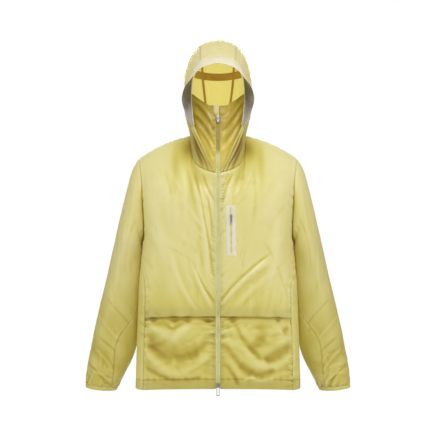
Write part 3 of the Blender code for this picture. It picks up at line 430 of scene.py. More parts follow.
@dataclass(frozen=True)
class NylonFinish:
    """Very light woven nylon that lets light through.

    Its colour is painted paler the higher it lies, as painted top light. It is painted
    darker in the troughs of its folds and paler on their ridges, as painted shade and
    highlight.
    """

    name: str = "pale_nylon"
    # place and colour of each tone
    tones: Table = ((0.0, 0.230, 0.115, 0.010), (0.18, 0.395, 0.285, 0.034),
                    (0.35, 0.525, 0.440, 0.080), (0.50, 0.620, 0.570, 0.180),
                    (0.64, 0.700, 0.670, 0.345), (0.80, 0.775, 0.758, 0.500),
                    (1.0, 0.850, 0.835, 0.590))
    glow: Colour = (0.930, 0.800, 0.220)
    level: float = 0.61
    # painted top light: how much paler the colour is painted the higher it lies
    painted_top_light: float = 0.28
    # how much painted highlight the folds' ridges get and painted shade their troughs
    folds: float = 0.26
    through: float = 0.30
    roughness: float = 0.38
    sheen: float = 0.12
    thread: float = 0.0009
    crumple: float = 0.0016

    def material(self) -> Material:
        """Wire the finish.

        Returns:
            The material.
        """
        rig = Rig(self.name)
        relief = rig.add("ShaderNodeAttribute", {"attribute_name": RELIEF_AND_PAINTED_SHADE}).outputs["Fac"]
        wander = rig.noise(7.0, 4.0, (1.0, 1.0, 0.6))
        # painted top light from the height, random tone, then painted highlight and shade
        # from the relief attribute, which also carries the panels' painted shade
        amount = rig.sum("MULTIPLY_ADD", rig.height(), self.painted_top_light,
                         self.level + 0.28 * self.painted_top_light)
        for part, factor, plus in ((wander, 0.22, -0.11), (relief, self.folds, 0.0)):
            amount = rig.sum("ADD", amount, rig.sum("MULTIPLY_ADD", part, factor, plus))
        normal = rig.bump(rig.noise(34.0, 5.0, (1.0, 1.0, 0.7)), self.crumple, 0.45)
        normal = rig.bump(rig.weave(self.thread), 0.00008, 0.5, normal)
        cloth = rig.add("ShaderNodeBsdfPrincipled", Normal=normal, IOR=1.50,
                        Base_Color=rig.tones(amount, self.tones),
                        Roughness=self.roughness, Sheen_Weight=self.sheen,
                        Sheen_Roughness=0.45, Sheen_Tint=(1.0, 0.99, 0.90, 1.0))
        # the light let through is painted dimmer where painted shade lowers the amount
        dim = tuple(0.3 * share ** 1.5 for share in self.glow)
        lit = rig.add("ShaderNodeBsdfTranslucent", Normal=normal,
                      Color=rig.tones(amount, ((0.05, *dim), (0.60, *self.glow))))
        mixed = rig.add("ShaderNodeMixShader", Fac=self.through)
        for socket, shader in zip(mixed.inputs[1:], (cloth, lit)):
            rig.feed(socket, shader.outputs[0])
        return rig.finish(mixed)


@dataclass(frozen=True)
class CoatedFinish:
    """Opaque coated or bonded cloth with a fine grain."""

    name: str
    dark: Colour
    light: Colour
    roughness: float = 0.55
    grain: float = 260.0
    relief: float = 0.0002
    sheen: float = 0.1
    # painted shade: a darker colour above the heights in above
    shaded: Colour | None = None
    above: tuple[float, float] = (-0.060, -0.036)

    def material(self) -> Material:
        """Wire the finish, with painted shade above some height if it has one.

        Returns:
            The material.
        """
        rig = Rig(self.name)
        amount = rig.noise(24.0, 5.0)
        stops = ((0.35, *self.dark), (0.65, *self.light))
        if self.shaded:
            over = rig.add("ShaderNodeMapRange", Value=rig.height(), From_Min=self.above[0],
                           From_Max=self.above[1]).outputs[0]
            amount = rig.sum("MULTIPLY_ADD", over, -0.7, amount)
            stops = ((0.0, *self.shaded),) + stops
        normal = rig.bump(rig.noise(self.grain, 2.0), self.relief, 0.5)
        normal = rig.bump(rig.weave(0.0009), 0.00006, 0.5, normal)
        return rig.finish(rig.add("ShaderNodeBsdfPrincipled", Normal=normal,
                                  Base_Color=rig.tones(amount, stops),
                                  Roughness=self.roughness, Sheen_Weight=self.sheen))


@dataclass(frozen=True)
class MetalFinish:
    """Plain satin zip metal with a fine mottled tone."""

    name: str = "zip_metal"
    dark: Colour = (0.30, 0.30, 0.29)
    light: Colour = (0.48, 0.48, 0.46)

    def material(self) -> Material:
        """Wire the finish.

        Returns:
            The material.
        """
        rig = Rig(self.name)
        colour = rig.tones(rig.noise(420.0), ((0.35, *self.dark), (0.65, *self.light)))
        normal = rig.bump(rig.noise(1500.0, 2.0), 0.00003, 0.5)
        return rig.finish(rig.add("ShaderNodeBsdfPrincipled", Base_Color=colour,
                                  Normal=normal, Metallic=0.9, Roughness=0.32))


class Cloths:
    """Every finish of the jacket, made once."""

    def __init__(self) -> None:
        """Make the materials."""
        self.nylon = NylonFinish().material()
        # the hood's copy of the nylon is painted paler, with more painted top light, and
        # lets more light through
        self.hood = NylonFinish("hood_nylon", level=0.64, painted_top_light=0.34,
                                through=0.42).material()
        cream = ((0.2, 0.64, 0.56, 0.34), (0.5, 0.80, 0.74, 0.53), (0.9, 0.88, 0.84, 0.66))
        self.brim = NylonFinish("cream_nylon", cream, (0.95, 0.86, 0.55), 0.5, 0.0,
                                through=0.14, roughness=0.6, sheen=0.0).material()
        # the collar's deeper olive is partly its own colour and partly painted shade from
        # the hood around it
        olive = ((0.1, 0.18, 0.10, 0.006), (0.5, 0.40, 0.29, 0.030),
                 (0.9, 0.58, 0.46, 0.075))
        self.collar = NylonFinish("collar_nylon", olive, (0.60, 0.46, 0.09), 0.5, 0.0,
                                  through=0.15, sheen=0.0).material()
        self.sleeve = NylonFinish("sleeve_nylon", through=0.36).material()
        self.elastic = NylonFinish("cuff_elastic", level=0.42, painted_top_light=0.0, through=0.10,
                                   crumple=0.0006).material()
        # painted shade: the facing is darker up under the brim
        self.facing = CoatedFinish("grey_coating", (0.31, 0.29, 0.275), (0.38, 0.36, 0.345),
                                   0.42, shaded=(0.10, 0.088, 0.058),
                                   above=(0.04, 0.13)).material()
        self.patch = CoatedFinish("bonded_film", (0.57, 0.54, 0.37), (0.65, 0.62, 0.44),
                                  0.5).material()
        self.channel = CoatedFinish("elastic_channel", (0.60, 0.38, 0.100),
                                    (0.68, 0.44, 0.130), 0.6).material()
        # painted shade: tape and coil are darker up in the collar, inside the hood
        self.tape = CoatedFinish("zip_tape", (0.62, 0.58, 0.25), (0.72, 0.68, 0.33), 0.6,
                                 600.0, shaded=(0.37, 0.28, 0.065)).material()
        self.coil = CoatedFinish("zip_coil", (0.62, 0.59, 0.29), (0.72, 0.69, 0.38), 0.4,
                                 900.0, 0.00005, shaded=(0.42, 0.33, 0.09)).material()
        self.garage = CoatedFinish("zip_garage", (0.48, 0.40, 0.16), (0.56, 0.47, 0.20),
                                   0.6).material()
        self.thread = CoatedFinish("sewing_thread", (0.62, 0.55, 0.22), (0.72, 0.64, 0.28),
                                   0.5, 2000.0, 0.00005).material()
        self.metal = MetalFinish().material()


# ---------------- the jacket's form
@dataclass(frozen=True)
class JacketForm:
    """The shape that every cloth piece lies on; the same tables as the solids.

    In its methods w runs from 0 at the centre to 1 at the armhole or side seam, share
    from 0 at the upper edge to 1 at the underarm, and front is the front or the back.
    """

    front_edge_x: float = 0.0056
    flap_z: float = -0.494
    flap_side_z: float = -0.503
    hem_z: float = -0.690
    hem_side_z: float = -0.700
    underarm_z: float = -0.297
    arm_steps: int = 9
    neck_steps: int = 5
    shoulder_steps: int = 8
    chest_rows: int = 9
    pocket_rows: int = 6
    neck_share: float = 0.30
    row_split: float = 0.42
    cap_end: float = 0.24
    square: float = 0.12
    strip_drop: float = 0.012
    strip_end: float = 0.14
    strip_stop: float = 0.93

    # height, half width, side y, front y, back y
    torso: Table = table(
        (-105, 219, -4, -125, 104), (-160, 219, -8, -129, 113), (-230, 215, -14, -131, 116),
        (-297, 210, -20, -130.5, 116), (-350, 213.3, -28, -130, 114),
        (-395, 217.7, -33, -130.5, 113), (-458, 222.3, -35, -132, 113),
        (-570, 226.2, -35, -135, 116), (-700, 230, -35, -133, 118))
    # height, degrees round from centre front
    side_seam: Table = ((-0.297, 96.0), (-0.340, 84.0), (-0.385, 70.0), (-0.430, 62.5),
                        (-0.560, 61.5), (-0.700, 61.0))
    # x, y, z of these curves
    neck_seam: Table = table(
        (5.6, -125, -105), (16, -123.2, -103.5), (31, -117.5, -99), (49, -106, -89),
        (64, -88, -76), (71, -66, -56), (75, -40, -25), (78, -12, 2))
    neck_rear: Table = table(
        (0, 82, 16), (32, 76, 16.5), (58, 58, 16.5), (74.5, 25, 13), (78, -12, 2))
    shoulder_seam: Table = table(
        (78, -12, 2), (121.5, -12, -8.5), (157.5, -10, -22.5), (198, -5, -44),
        (223, 1, -61.5))
    armhole_front: Table = table(
        (223, 1, -61.5), (219, -29, -86), (213, -51, -130), (208.5, -59, -185),
        (206, -54, -235), (206, -38, -275))
    armhole_back: Table = table(
        (223, 1, -61.5), (219.5, 35, -86), (213, 62, -130), (207.5, 73, -185),
        (205, 64, -235), (206, 40, -275))
    # share of the length, outer x, outer z, inner x, inner z, mid y, half depth
    sleeve: Table = table(
        (0, 223, -61.5, 208, -297, 10, 70), (70, 242.5, -94, 218.5, -302, 14, 73),
        (150, 257.5, -144.5, 214.5, -315, 21, 75), (250, 273.5, -208, 214, -340, 26, 75),
        (350, 290, -280, 215.5, -372, 29, 73), (450, 305.5, -348, 216.5, -413, 30, 71),
        (550, 318.5, -408, 218, -454, 29, 69), (650, 333.5, -469, 221, -503, 25, 67),
        (750, 347.5, -533, 225.5, -556, 20, 64), (850, 361, -600, 237, -613, 13, 60),
        (930, 370, -653, 260, -660, 6, 56), (1000, 371.5, -693, 281.5, -702, 1, 48))
    # share of the length, front seam, back seam in shares of a half ring
    sleeve_seams: Table = ((0.0, 7 / 9, 6 / 9), (0.45, 0.86, 0.70), (0.62, 0.82, 0.72),
                           (0.80, 0.55, 0.76), (1.0, 0.72, 0.80))
    # y, z, half width of the hood's strip
    hood_line: Table = table(
        (-100, 213.5, 49), (-50, 253.5, 50), (0, 273, 50), (50, 263.5, 49), (90, 229, 47.5),
        (113, 183, 45.5), (119, 135, 41), (112, 85, 34.5), (96, 43, 28.5), (81.3, 16.4, 24))
    # x, y, z of the edges of brim, hood and collar
    brim_seam: Table = table(
        (0, -100, 213.5), (30, -99, 210), (49, -97.5, 201.5), (65.5, -94, 179),
        (73.5, -89, 150), (76, -84, 120), (75.5, -81, 98), (73.5, -80, 75),
        (71.5, -81.5, 54), (69.5, -85, 37), (67.2, -89, 27))
    brim_edge: Table = table(
        (0, -150, 188.5), (38, -147.5, 180.5), (58.5, -144.5, 165), (75, -141, 146),
        (88, -137, 130), (96.6, -131, 108), (98.4, -126, 91), (93.5, -118, 69),
        (86.5, -109, 50), (78.5, -101, 35), (70, -94.5, 26))
    hood_front: Table = table(
        (67.2, -89, 27), (60, -95, 8), (44, -106.5, -25), (25, -117, -65),
        (5.6, -125, -105))
    collar_foot: Table = table(
        (5.6, -119.5, -98.5), (16, -119, -97.8), (31, -111.5, -92), (47, -99, -83),
        (61, -82, -70), (67.2, -62, -48), (70.5, -42, -20))
    collar_top: Table = table(
        (5.6, -102, 79), (16, -101.5, 79), (26, -98.5, 80.6), (40.2, -91, 90),
        (56, -78, 101.8), (69, -60, 113.3), (77, -40, 117))

    def ring(self, angle: float, z: float) -> Array:
        """Find a point on the body.

        Args:
            angle: degrees round from centre front.
            z: the height.

        Returns:
            The point.
        """
        half, side_y, front_y, back_y = smooth_table(self.torso, z)
        s, c = math.sin(math.radians(angle)), math.cos(math.radians(angle))
        depth = side_y - front_y if c > 0 else back_y - side_y
        return np.array((half * s * (1.0 + self.square * c * c),
                         side_y - depth * c * (1.0 + self.square * s * s), z))

    def seam_angle(self, z: float) -> float:
        """Angle of the side seam at a height."""
        return smooth_table(self.side_seam, z)[0]

    @lru_cache(maxsize=None)
    def armhole(self, share: float, front: bool) -> Array:
        """Point on the armhole, from the shoulder to under the arm."""
        under = tuple(self.ring(self.seam_angle(self.underarm_z), self.underarm_z))
        return spline((self.armhole_front if front else self.armhole_back) + (under,),
                      [share])[0]

    @lru_cache(maxsize=None)
    def edge_angle(self, share: float, front: bool) -> float:
        """Find the angle whose ring point lies nearest the armhole.

        Args:
            share: place down the armhole.
            front: front or back.

        Returns:
            The angle in degrees.
        """
        if share > 0.999:
            return self.seam_angle(self.underarm_z)
        point = self.armhole(share, front)
        z = max(point[2], -0.230)
        angles = np.linspace(35.0, 145.0, 111)
        gaps = [np.linalg.norm(self.ring(a, z)[:2] - point[:2]) for a in angles]
        return float(angles[int(np.argmin(gaps))])

    def body_row(self, w: float, share: float, front: bool) -> Array:
        """Find a point on a row from the centre to the armhole, below the yoke.

        Args:
            w: place across.
            share: the row's place down the armhole.
            front: front or back.

        Returns:
            The point.
        """
        edge = self.armhole(share, front)
        centre_z = (-0.105 if front else -0.070) * (1.0 - share) + self.underarm_z * share
        z = centre_z + (edge[2] - centre_z) * w * w
        near = self.edge_angle(share, front)
        angle = w * near if front else 180.0 - w * (180.0 - near)
        shift = edge - self.ring(near, edge[2] if edge[2] < -0.16 else -0.16)
        shift[2] = 0.0
        here = self.ring(angle, min(z, -0.105))
        here[2] = z
        return here + shift * w ** 3

    def top_line(self, w: float, front: bool) -> Array:
        """Find a point on the neck seam or, further out, on the shoulder seam.

        Args:
            w: place across.
            front: front or back.

        Returns:
            The point.
        """
        if w <= self.neck_share:
            return spline(self.neck_seam if front else self.neck_rear,
                          [w / self.neck_share])[0]
        out = (w - self.neck_share) / (1.0 - self.neck_share)
        return spline(self.shoulder_seam, [out])[0]

    def yoke_point(self, w: float, share: float, front: bool) -> Array:
        """Find a point between the upper edge and the row where the yoke ends.

        Args:
            w: place across.
            share: place down.
            front: front or back.

        Returns:
            The point.
        """
        t = share / self.row_split
        start, end = self.top_line(w, front), self.body_row(w, self.row_split, front)
        below = self.body_row(w, self.row_split + 0.04, front)
        reach = np.linalg.norm(end - start)
        down = (below - end) / np.linalg.norm(below - end) * reach
        out = float(ease(w / self.neck_share))
        leave = (np.array((0.0, -0.20 - 0.62 * out, -0.98 + 0.40 * out)) if front
                 else np.array((0.0, 0.60 + 0.38 * out, -0.80 + 0.86 * out)))
        leave = leave / np.linalg.norm(leave) * reach * 0.9
        t2, t3 = t * t, t * t * t
        return ((2 * t3 - 3 * t2 + 1) * start + (t3 - 2 * t2 + t) * leave
                + (-2 * t3 + 3 * t2) * end + (t3 - t2) * down)

    def upper_body(self, w: float, share: float, front: bool) -> Array:
        """Find a body point above the underarm.

        Args:
            w: place across.
            share: place down.
            front: front or back.

        Returns:
            The point.
        """
        if share >= self.row_split:
            point = self.body_row(w, share, front)
        else:
            slip = self.armhole(share, front) - self.yoke_point(1.0, share, front)
            point = self.yoke_point(w, share, front) + slip * w ** 4
        if front:
            grown = min(share / self.row_split, 1.0)
            point[0] += self.front_edge_x * (1.0 - w) ** 2 * grown
        return point

    def lower_body(self, w: float, z_centre: float, z_side: float, front: bool) -> Array:
        """Find a body point below the underarm.

        Args:
            w: place across.
            z_centre: height of the row at the centre.
            z_side: height of the row at the side seam.
            front: front or back.

        Returns:
            The point.
        """
        z = z_centre + (z_side - z_centre) * w * w
        seam = self.seam_angle(z)
        if not front:
            return self.ring(180.0 - w * (180.0 - seam), z)
        start = math.degrees(self.front_edge_x / 0.23)
        return self.ring(start + (seam - start) * w, z)

    def columns(self, neck: Array) -> Array:
        """Shares across a panel, under the neck seam and then the shoulder seam."""
        rest = np.linspace(self.neck_share, 1.0, self.shoulder_steps + 1)[1:]
        return np.concatenate([neck * self.neck_share, rest])

    def front_columns(self) -> Array:
        """Shares across a front."""
        return self.columns(np.linspace(0.0, 1.0, self.neck_steps + 1))

    def back_columns(self) -> Array:
        """Shares across half the back, with stops at the hood's strip seams."""
        first, middle = (share_at_x(self.neck_rear, self.hood_line[-1][2] / part)
                         for part in (1, 2))
        return self.columns(np.concatenate([[0.0, middle], np.linspace(first, 1.0, 5)]))

    def brim_shares(self) -> Array:
        """Shares along the brim seam: the crown strip, then the side."""
        first, second = (share_at_x(self.brim_seam, self.hood_line[0][2] / part)
                         for part in (2, 1))
        return np.concatenate([[0.0, first], np.linspace(second, 1.0, 10)])

    def upper_rows(self, columns: Array, front: bool) -> list[list[Array]]:
        """Rows of points from the upper edge to the underarm."""
        return [[self.upper_body(w, j / self.arm_steps, front) for w in columns]
                for j in range(self.arm_steps + 1)]

    def front_rows(self, shares: Array, top: Row, foot: Row) -> list[list[Array]]:
        """Rows of a front between two heights, each given at the centre and the side.

        Args:
            shares: the rows' places, 0 at the upper height and 1 at the lower.
            top: the upper height.
            foot: the lower height.

        Returns:
            The rows.
        """
        return [[self.lower_body(w, *(a + (b - a) * t for a, b in zip(top, foot)), True)
                 for w in self.front_columns()] for t in shares]

    def upper_front(self) -> Array:
        """Grid of the left upper front."""
        chest = self.front_rows(np.linspace(0.0, 1.0, self.chest_rows + 1)[1:],
                                (self.underarm_z,) * 2, (self.flap_z, self.flap_side_z))
        return np.array(self.upper_rows(self.front_columns(), True) + chest)

    def lower_front(self) -> Array:
        """Grid of the left lower front, from behind the flap to the hem."""
        steps = np.append(-0.12, np.linspace(0.0, 1.0, 2 * self.pocket_rows + 1))
        return np.array(self.front_rows(steps, (self.flap_z, self.flap_side_z),
                                        (self.hem_z, self.hem_side_z)))

    def back(self) -> Array:
        """Lay out the whole back.

        Returns:
            Its grid.
        """
        columns = self.back_columns()
        chest = np.linspace(self.underarm_z, self.flap_side_z, self.chest_rows + 1)[1:]
        pocket = np.linspace(self.flap_side_z, self.hem_side_z, self.pocket_rows + 1)[1:]
        half = np.array(self.upper_rows(columns, False)
                        + [[self.lower_body(w, z, z, False) for w in columns]
                           for z in np.concatenate([chest, pocket])])
        return np.concatenate([(half * np.array((-1, 1, 1)))[:, :0:-1], half], axis=1)

    def sleeve_middle(self, k: float) -> Array:
        """Middle of a sleeve ring."""
        ox, oz, ix, iz, mid_y, _ = smooth_table(self.sleeve, k)
        return np.array(((ox + ix) / 2, mid_y, (oz + iz) / 2))

    def oval_point(self, row: Row, share: float) -> Array:
        """Find a point on one ring's oval.

        Args:
            row: outer x, outer z, inner x, inner z, mid y, half depth.
            share: -1 to 1 round it, the front over 0.

        Returns:
            The point.
        """
        ox, oz, ix, iz, mid_y, depth = row
        s, c = math.sin(math.pi * share), math.cos(math.pi * share)
        return np.array(((ox + ix) / 2 + (ox - ix) / 2 * c, mid_y - depth * s,
                         (oz + iz) / 2 + (oz - iz) / 2 * c))

    def sleeve_point(self, k: float, share: float) -> Array:
        """Find a point on the left sleeve.

        Args:
            k: share of its length.
            share: -1 to 1 round it, the front over 0.

        Returns:
            The point.
        """
        point = self.oval_point(smooth_table(self.sleeve, k), share)
        if k < self.cap_end:
            slip = (self.armhole(abs(share), bool(share >= 0))
                    - self.oval_point(self.sleeve[0][1:], share))
            point = point + slip * (1.0 - k / self.cap_end) ** 2
        return point

    def strip_section(self, s: float, across: float) -> Array:
        """Find a point of the hood strip's own arched section.

        Args:
            s: share of the strip's length, from the brim.
            across: -1 to 1 from seam to seam.

        Returns:
            The point.
        """
        here, ahead, behind = spline(self.hood_line,
                                     [s, min(s + 0.01, 1.0), max(s - 0.01, 0.0)])
        way = unit((ahead - behind)[:2])
        flat = 1.0 - 0.5 * float(ease((s - 0.6) / 0.4))
        drop = self.strip_drop * across * across * flat
        return np.array((here[2] * across, here[0] + way[1] * drop, here[1] - way[0] * drop))

    def strip_point(self, s: float, across: float) -> Array:
        """Find a point on the strip, its ends brought on to their seams.

        Args:
            s: share of the strip's length, from the brim.
            across: -1 to 1 from seam to seam.

        Returns:
            The point.
        """
        point = self.strip_section(s, across)
        for end, curve in ((0.0, self.brim_seam), (1.0, self.neck_rear)):
            pull = 1.0 - abs(s - end) / self.strip_end
            if pull > 0.0:
                own = self.strip_section(end, across)
                seam = spline(curve, [share_at_x(curve, abs(own[0]))])[0]
                point[1:] += (seam - own)[1:] * pull ** 2
        return point

    def strip_shares(self) -> Array:
        """Shares of the strip's length where the hood's sides meet it."""
        return np.linspace(0.0, self.strip_stop, 13)

    def hood_centre(self) -> Array:
        """Grid of the hood's strip, from the brim over the crown to the neck."""
        return np.array([[self.strip_point(s, a) for a in np.linspace(-1, 1, 5)]
                         for s in np.append(self.strip_shares(), 1.0)])

    def hood_side(self) -> Array:
        """Span the hood's left side between strip, brim, front edge and neck.

        Returns:
            Its grid.
        """
        strip = np.array([self.strip_point(s, 1.0) for s in self.strip_shares()])
        rear = spline(self.neck_rear, self.back_columns()[2:7] / self.neck_share)[-2::-1]
        fore = spline(self.neck_seam, np.linspace(0.0, 1.0, self.neck_steps + 1))
        neck = np.concatenate([fore, rear])
        halved = (5, 6, 7)
        halves = [(neck[k] + neck[k + 1]) / 2 for k in halved]
        foot = np.insert(neck, [k + 1 for k in halved], halves, axis=0)
        front = np.concatenate([spline(self.brim_seam, self.brim_shares()[2:]),
                                spline(self.hood_front, np.linspace(0.0, 1.0, 6))[1:]])
        last = np.linspace(strip[-1], neck[-1], len(front))
        points = np.zeros((len(front), len(foot), 3))
        for r, v in enumerate(np.linspace(0.0, 1.0, len(front))):
            for c, u in enumerate(np.linspace(0.0, 1.0, len(foot))):
                ruled = (1 - v) * strip[c] + v * foot[c] + (1 - u) * front[r] + u * last[r]
                corners = ((1 - u) * ((1 - v) * strip[0] + v * foot[0])
                           + u * ((1 - v) * strip[-1] + v * foot[-1]))
                wave = math.sin(2 * math.pi * v)
                way = np.array((wave * (0.008 if wave > 0.0 else 0.014),
                                0.004 * math.sin(math.pi * v), 0.0))
                points[r, c] = ruled - corners + way * math.sin(math.pi * u)
        return points

    def brim(self) -> Array:
        """Lay out the whole brim, from its seam to its free edge.

        Returns:
            Its grid.
        """
        inner, outer = (spline(curve, self.brim_shares())
                        for curve in (self.brim_seam, self.brim_edge))
        crown = 1.0 - np.abs(inner[:, :1]) / 0.1
        rows = []
        for t in (0.0, 0.34, 0.68, 1.0):
            half = inner + (outer - inner) * t
            half = half + np.array((0.0, -0.2, 1.0)) * 0.003 * math.sin(math.pi * t) * crown
            rows.append(np.concatenate([half[:0:-1] * np.array((-1, 1, 1)), half]))
        return np.array(rows)

    def collar(self) -> Array:
        """Lay out the left half of the inner collar, top edge first.

        Returns:
            Its grid.
        """
        spots = np.linspace(0.0, 1.0, 11)
        foot, top = spline(self.collar_foot, spots), spline(self.collar_top, spots)
        rows = []
        for t in np.linspace(0.0, 1.0, 9):
            row = top + (foot - top) * t
            for point, spot in zip(row, spots):
                bend = 0.0030 * math.sin(math.pi * t) * math.sin(9.0 * spot + 5.0 * t)
                point += np.array((0.3, -1.0, 0.0)) * bend * ease((point[0] - 0.014) / 0.02)
            rows.append(row)
        return np.array(rows)

    def zip_face(self, z: float) -> float:
        """Find the cloth's outer face at centre front.

        Args:
            z: the height.

        Returns:
            Its y, body below and collar above.
        """
        foot, top = self.collar_foot[0], self.collar_top[0]
        if z < -0.110:
            return float(self.ring(0.0, z)[1])
        if z > foot[2]:
            return foot[1] + (top[1] - foot[1]) * (z - foot[2]) / (top[2] - foot[2])
        return float(np.interp(z, (-0.110, -0.1045, foot[2]), (-0.1250, -0.1215, foot[1])))


# ---------------- making meshes
def turned(grid: Array) -> Array:
    """The grid with rows and columns changed over."""
    return grid.transpose(1, 0, 2)


def mesh_object(name: str, points: Array, faces: Sequence[Row],
                material: Material) -> Thing:
    """Make a smooth object from points and faces, linked to the scene.

    Args:
        name: the piece's name.
        points: its points.
        faces: indices of each face's points.
        material: its finish.

    Returns:
        The object.
    """
    mesh = bpy.data.meshes.new(name)
    mesh.from_pydata([tuple(map(float, p)) for p in points], [], [tuple(f) for f in faces])
    mesh.materials.append(material)
    mesh.polygons.foreach_set("use_smooth", [True] * len(mesh.polygons))
    mesh.update()
    thing = bpy.data.objects.new(name, mesh)
    bpy.context.scene.collection.objects.link(thing)
    return thing


def grid_faces(rows: int, cols: int, closed: bool = False) -> list[tuple[int, ...]]:
    """List the faces of a grid.

    Args:
        rows: number of rows of points.
        cols: number of columns.
        closed: whether the last column joins the first.

    Returns:
        Quads of point indices.
    """
    faces = []
    for start in range(0, (rows - 1) * cols, cols):
        for c in range(cols if closed else cols - 1):
            e = (c + 1) % cols
            faces.append((start + c, start + e, start + cols + e, start + cols + c))
    return faces


def grid_object(name: str, grid: Array, material: Material, closed: bool = False) -> Thing:
    """Make an object from a grid of points; closed joins its last column to the first."""
    return mesh_object(name, grid.reshape(-1, 3), grid_faces(*grid.shape[:2], closed),
                       material)


def join_parts(name: str, parts: Sequence[tuple[Array, list]], material: Material) -> Thing:
    """Join many small meshes into one object.

    Args:
        name: the piece's name.
        parts: points and faces of each.
        material: its finish.

    Returns:
        The object.
    """
    points, faces, base = [], [], 0
    for some, quads in parts:
        points.append(some)
        faces += [tuple(base + i for i in quad) for quad in quads]
        base += len(some)
    return mesh_object(name, np.concatenate(points), faces, material)


def fit(thing: Thing, slot: str, *nodes: str) -> None:
    """Put a piece on the jacket and report it.

    Args:
        thing: the piece.
        slot: the record's slot.
        nodes: the solids that it stands for.
    """
    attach(thing, JACKET)
    for node in nodes:
        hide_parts(node)
    LOG.info("%s: %s, %d faces", thing.name, slot, len(thing.data.polygons))


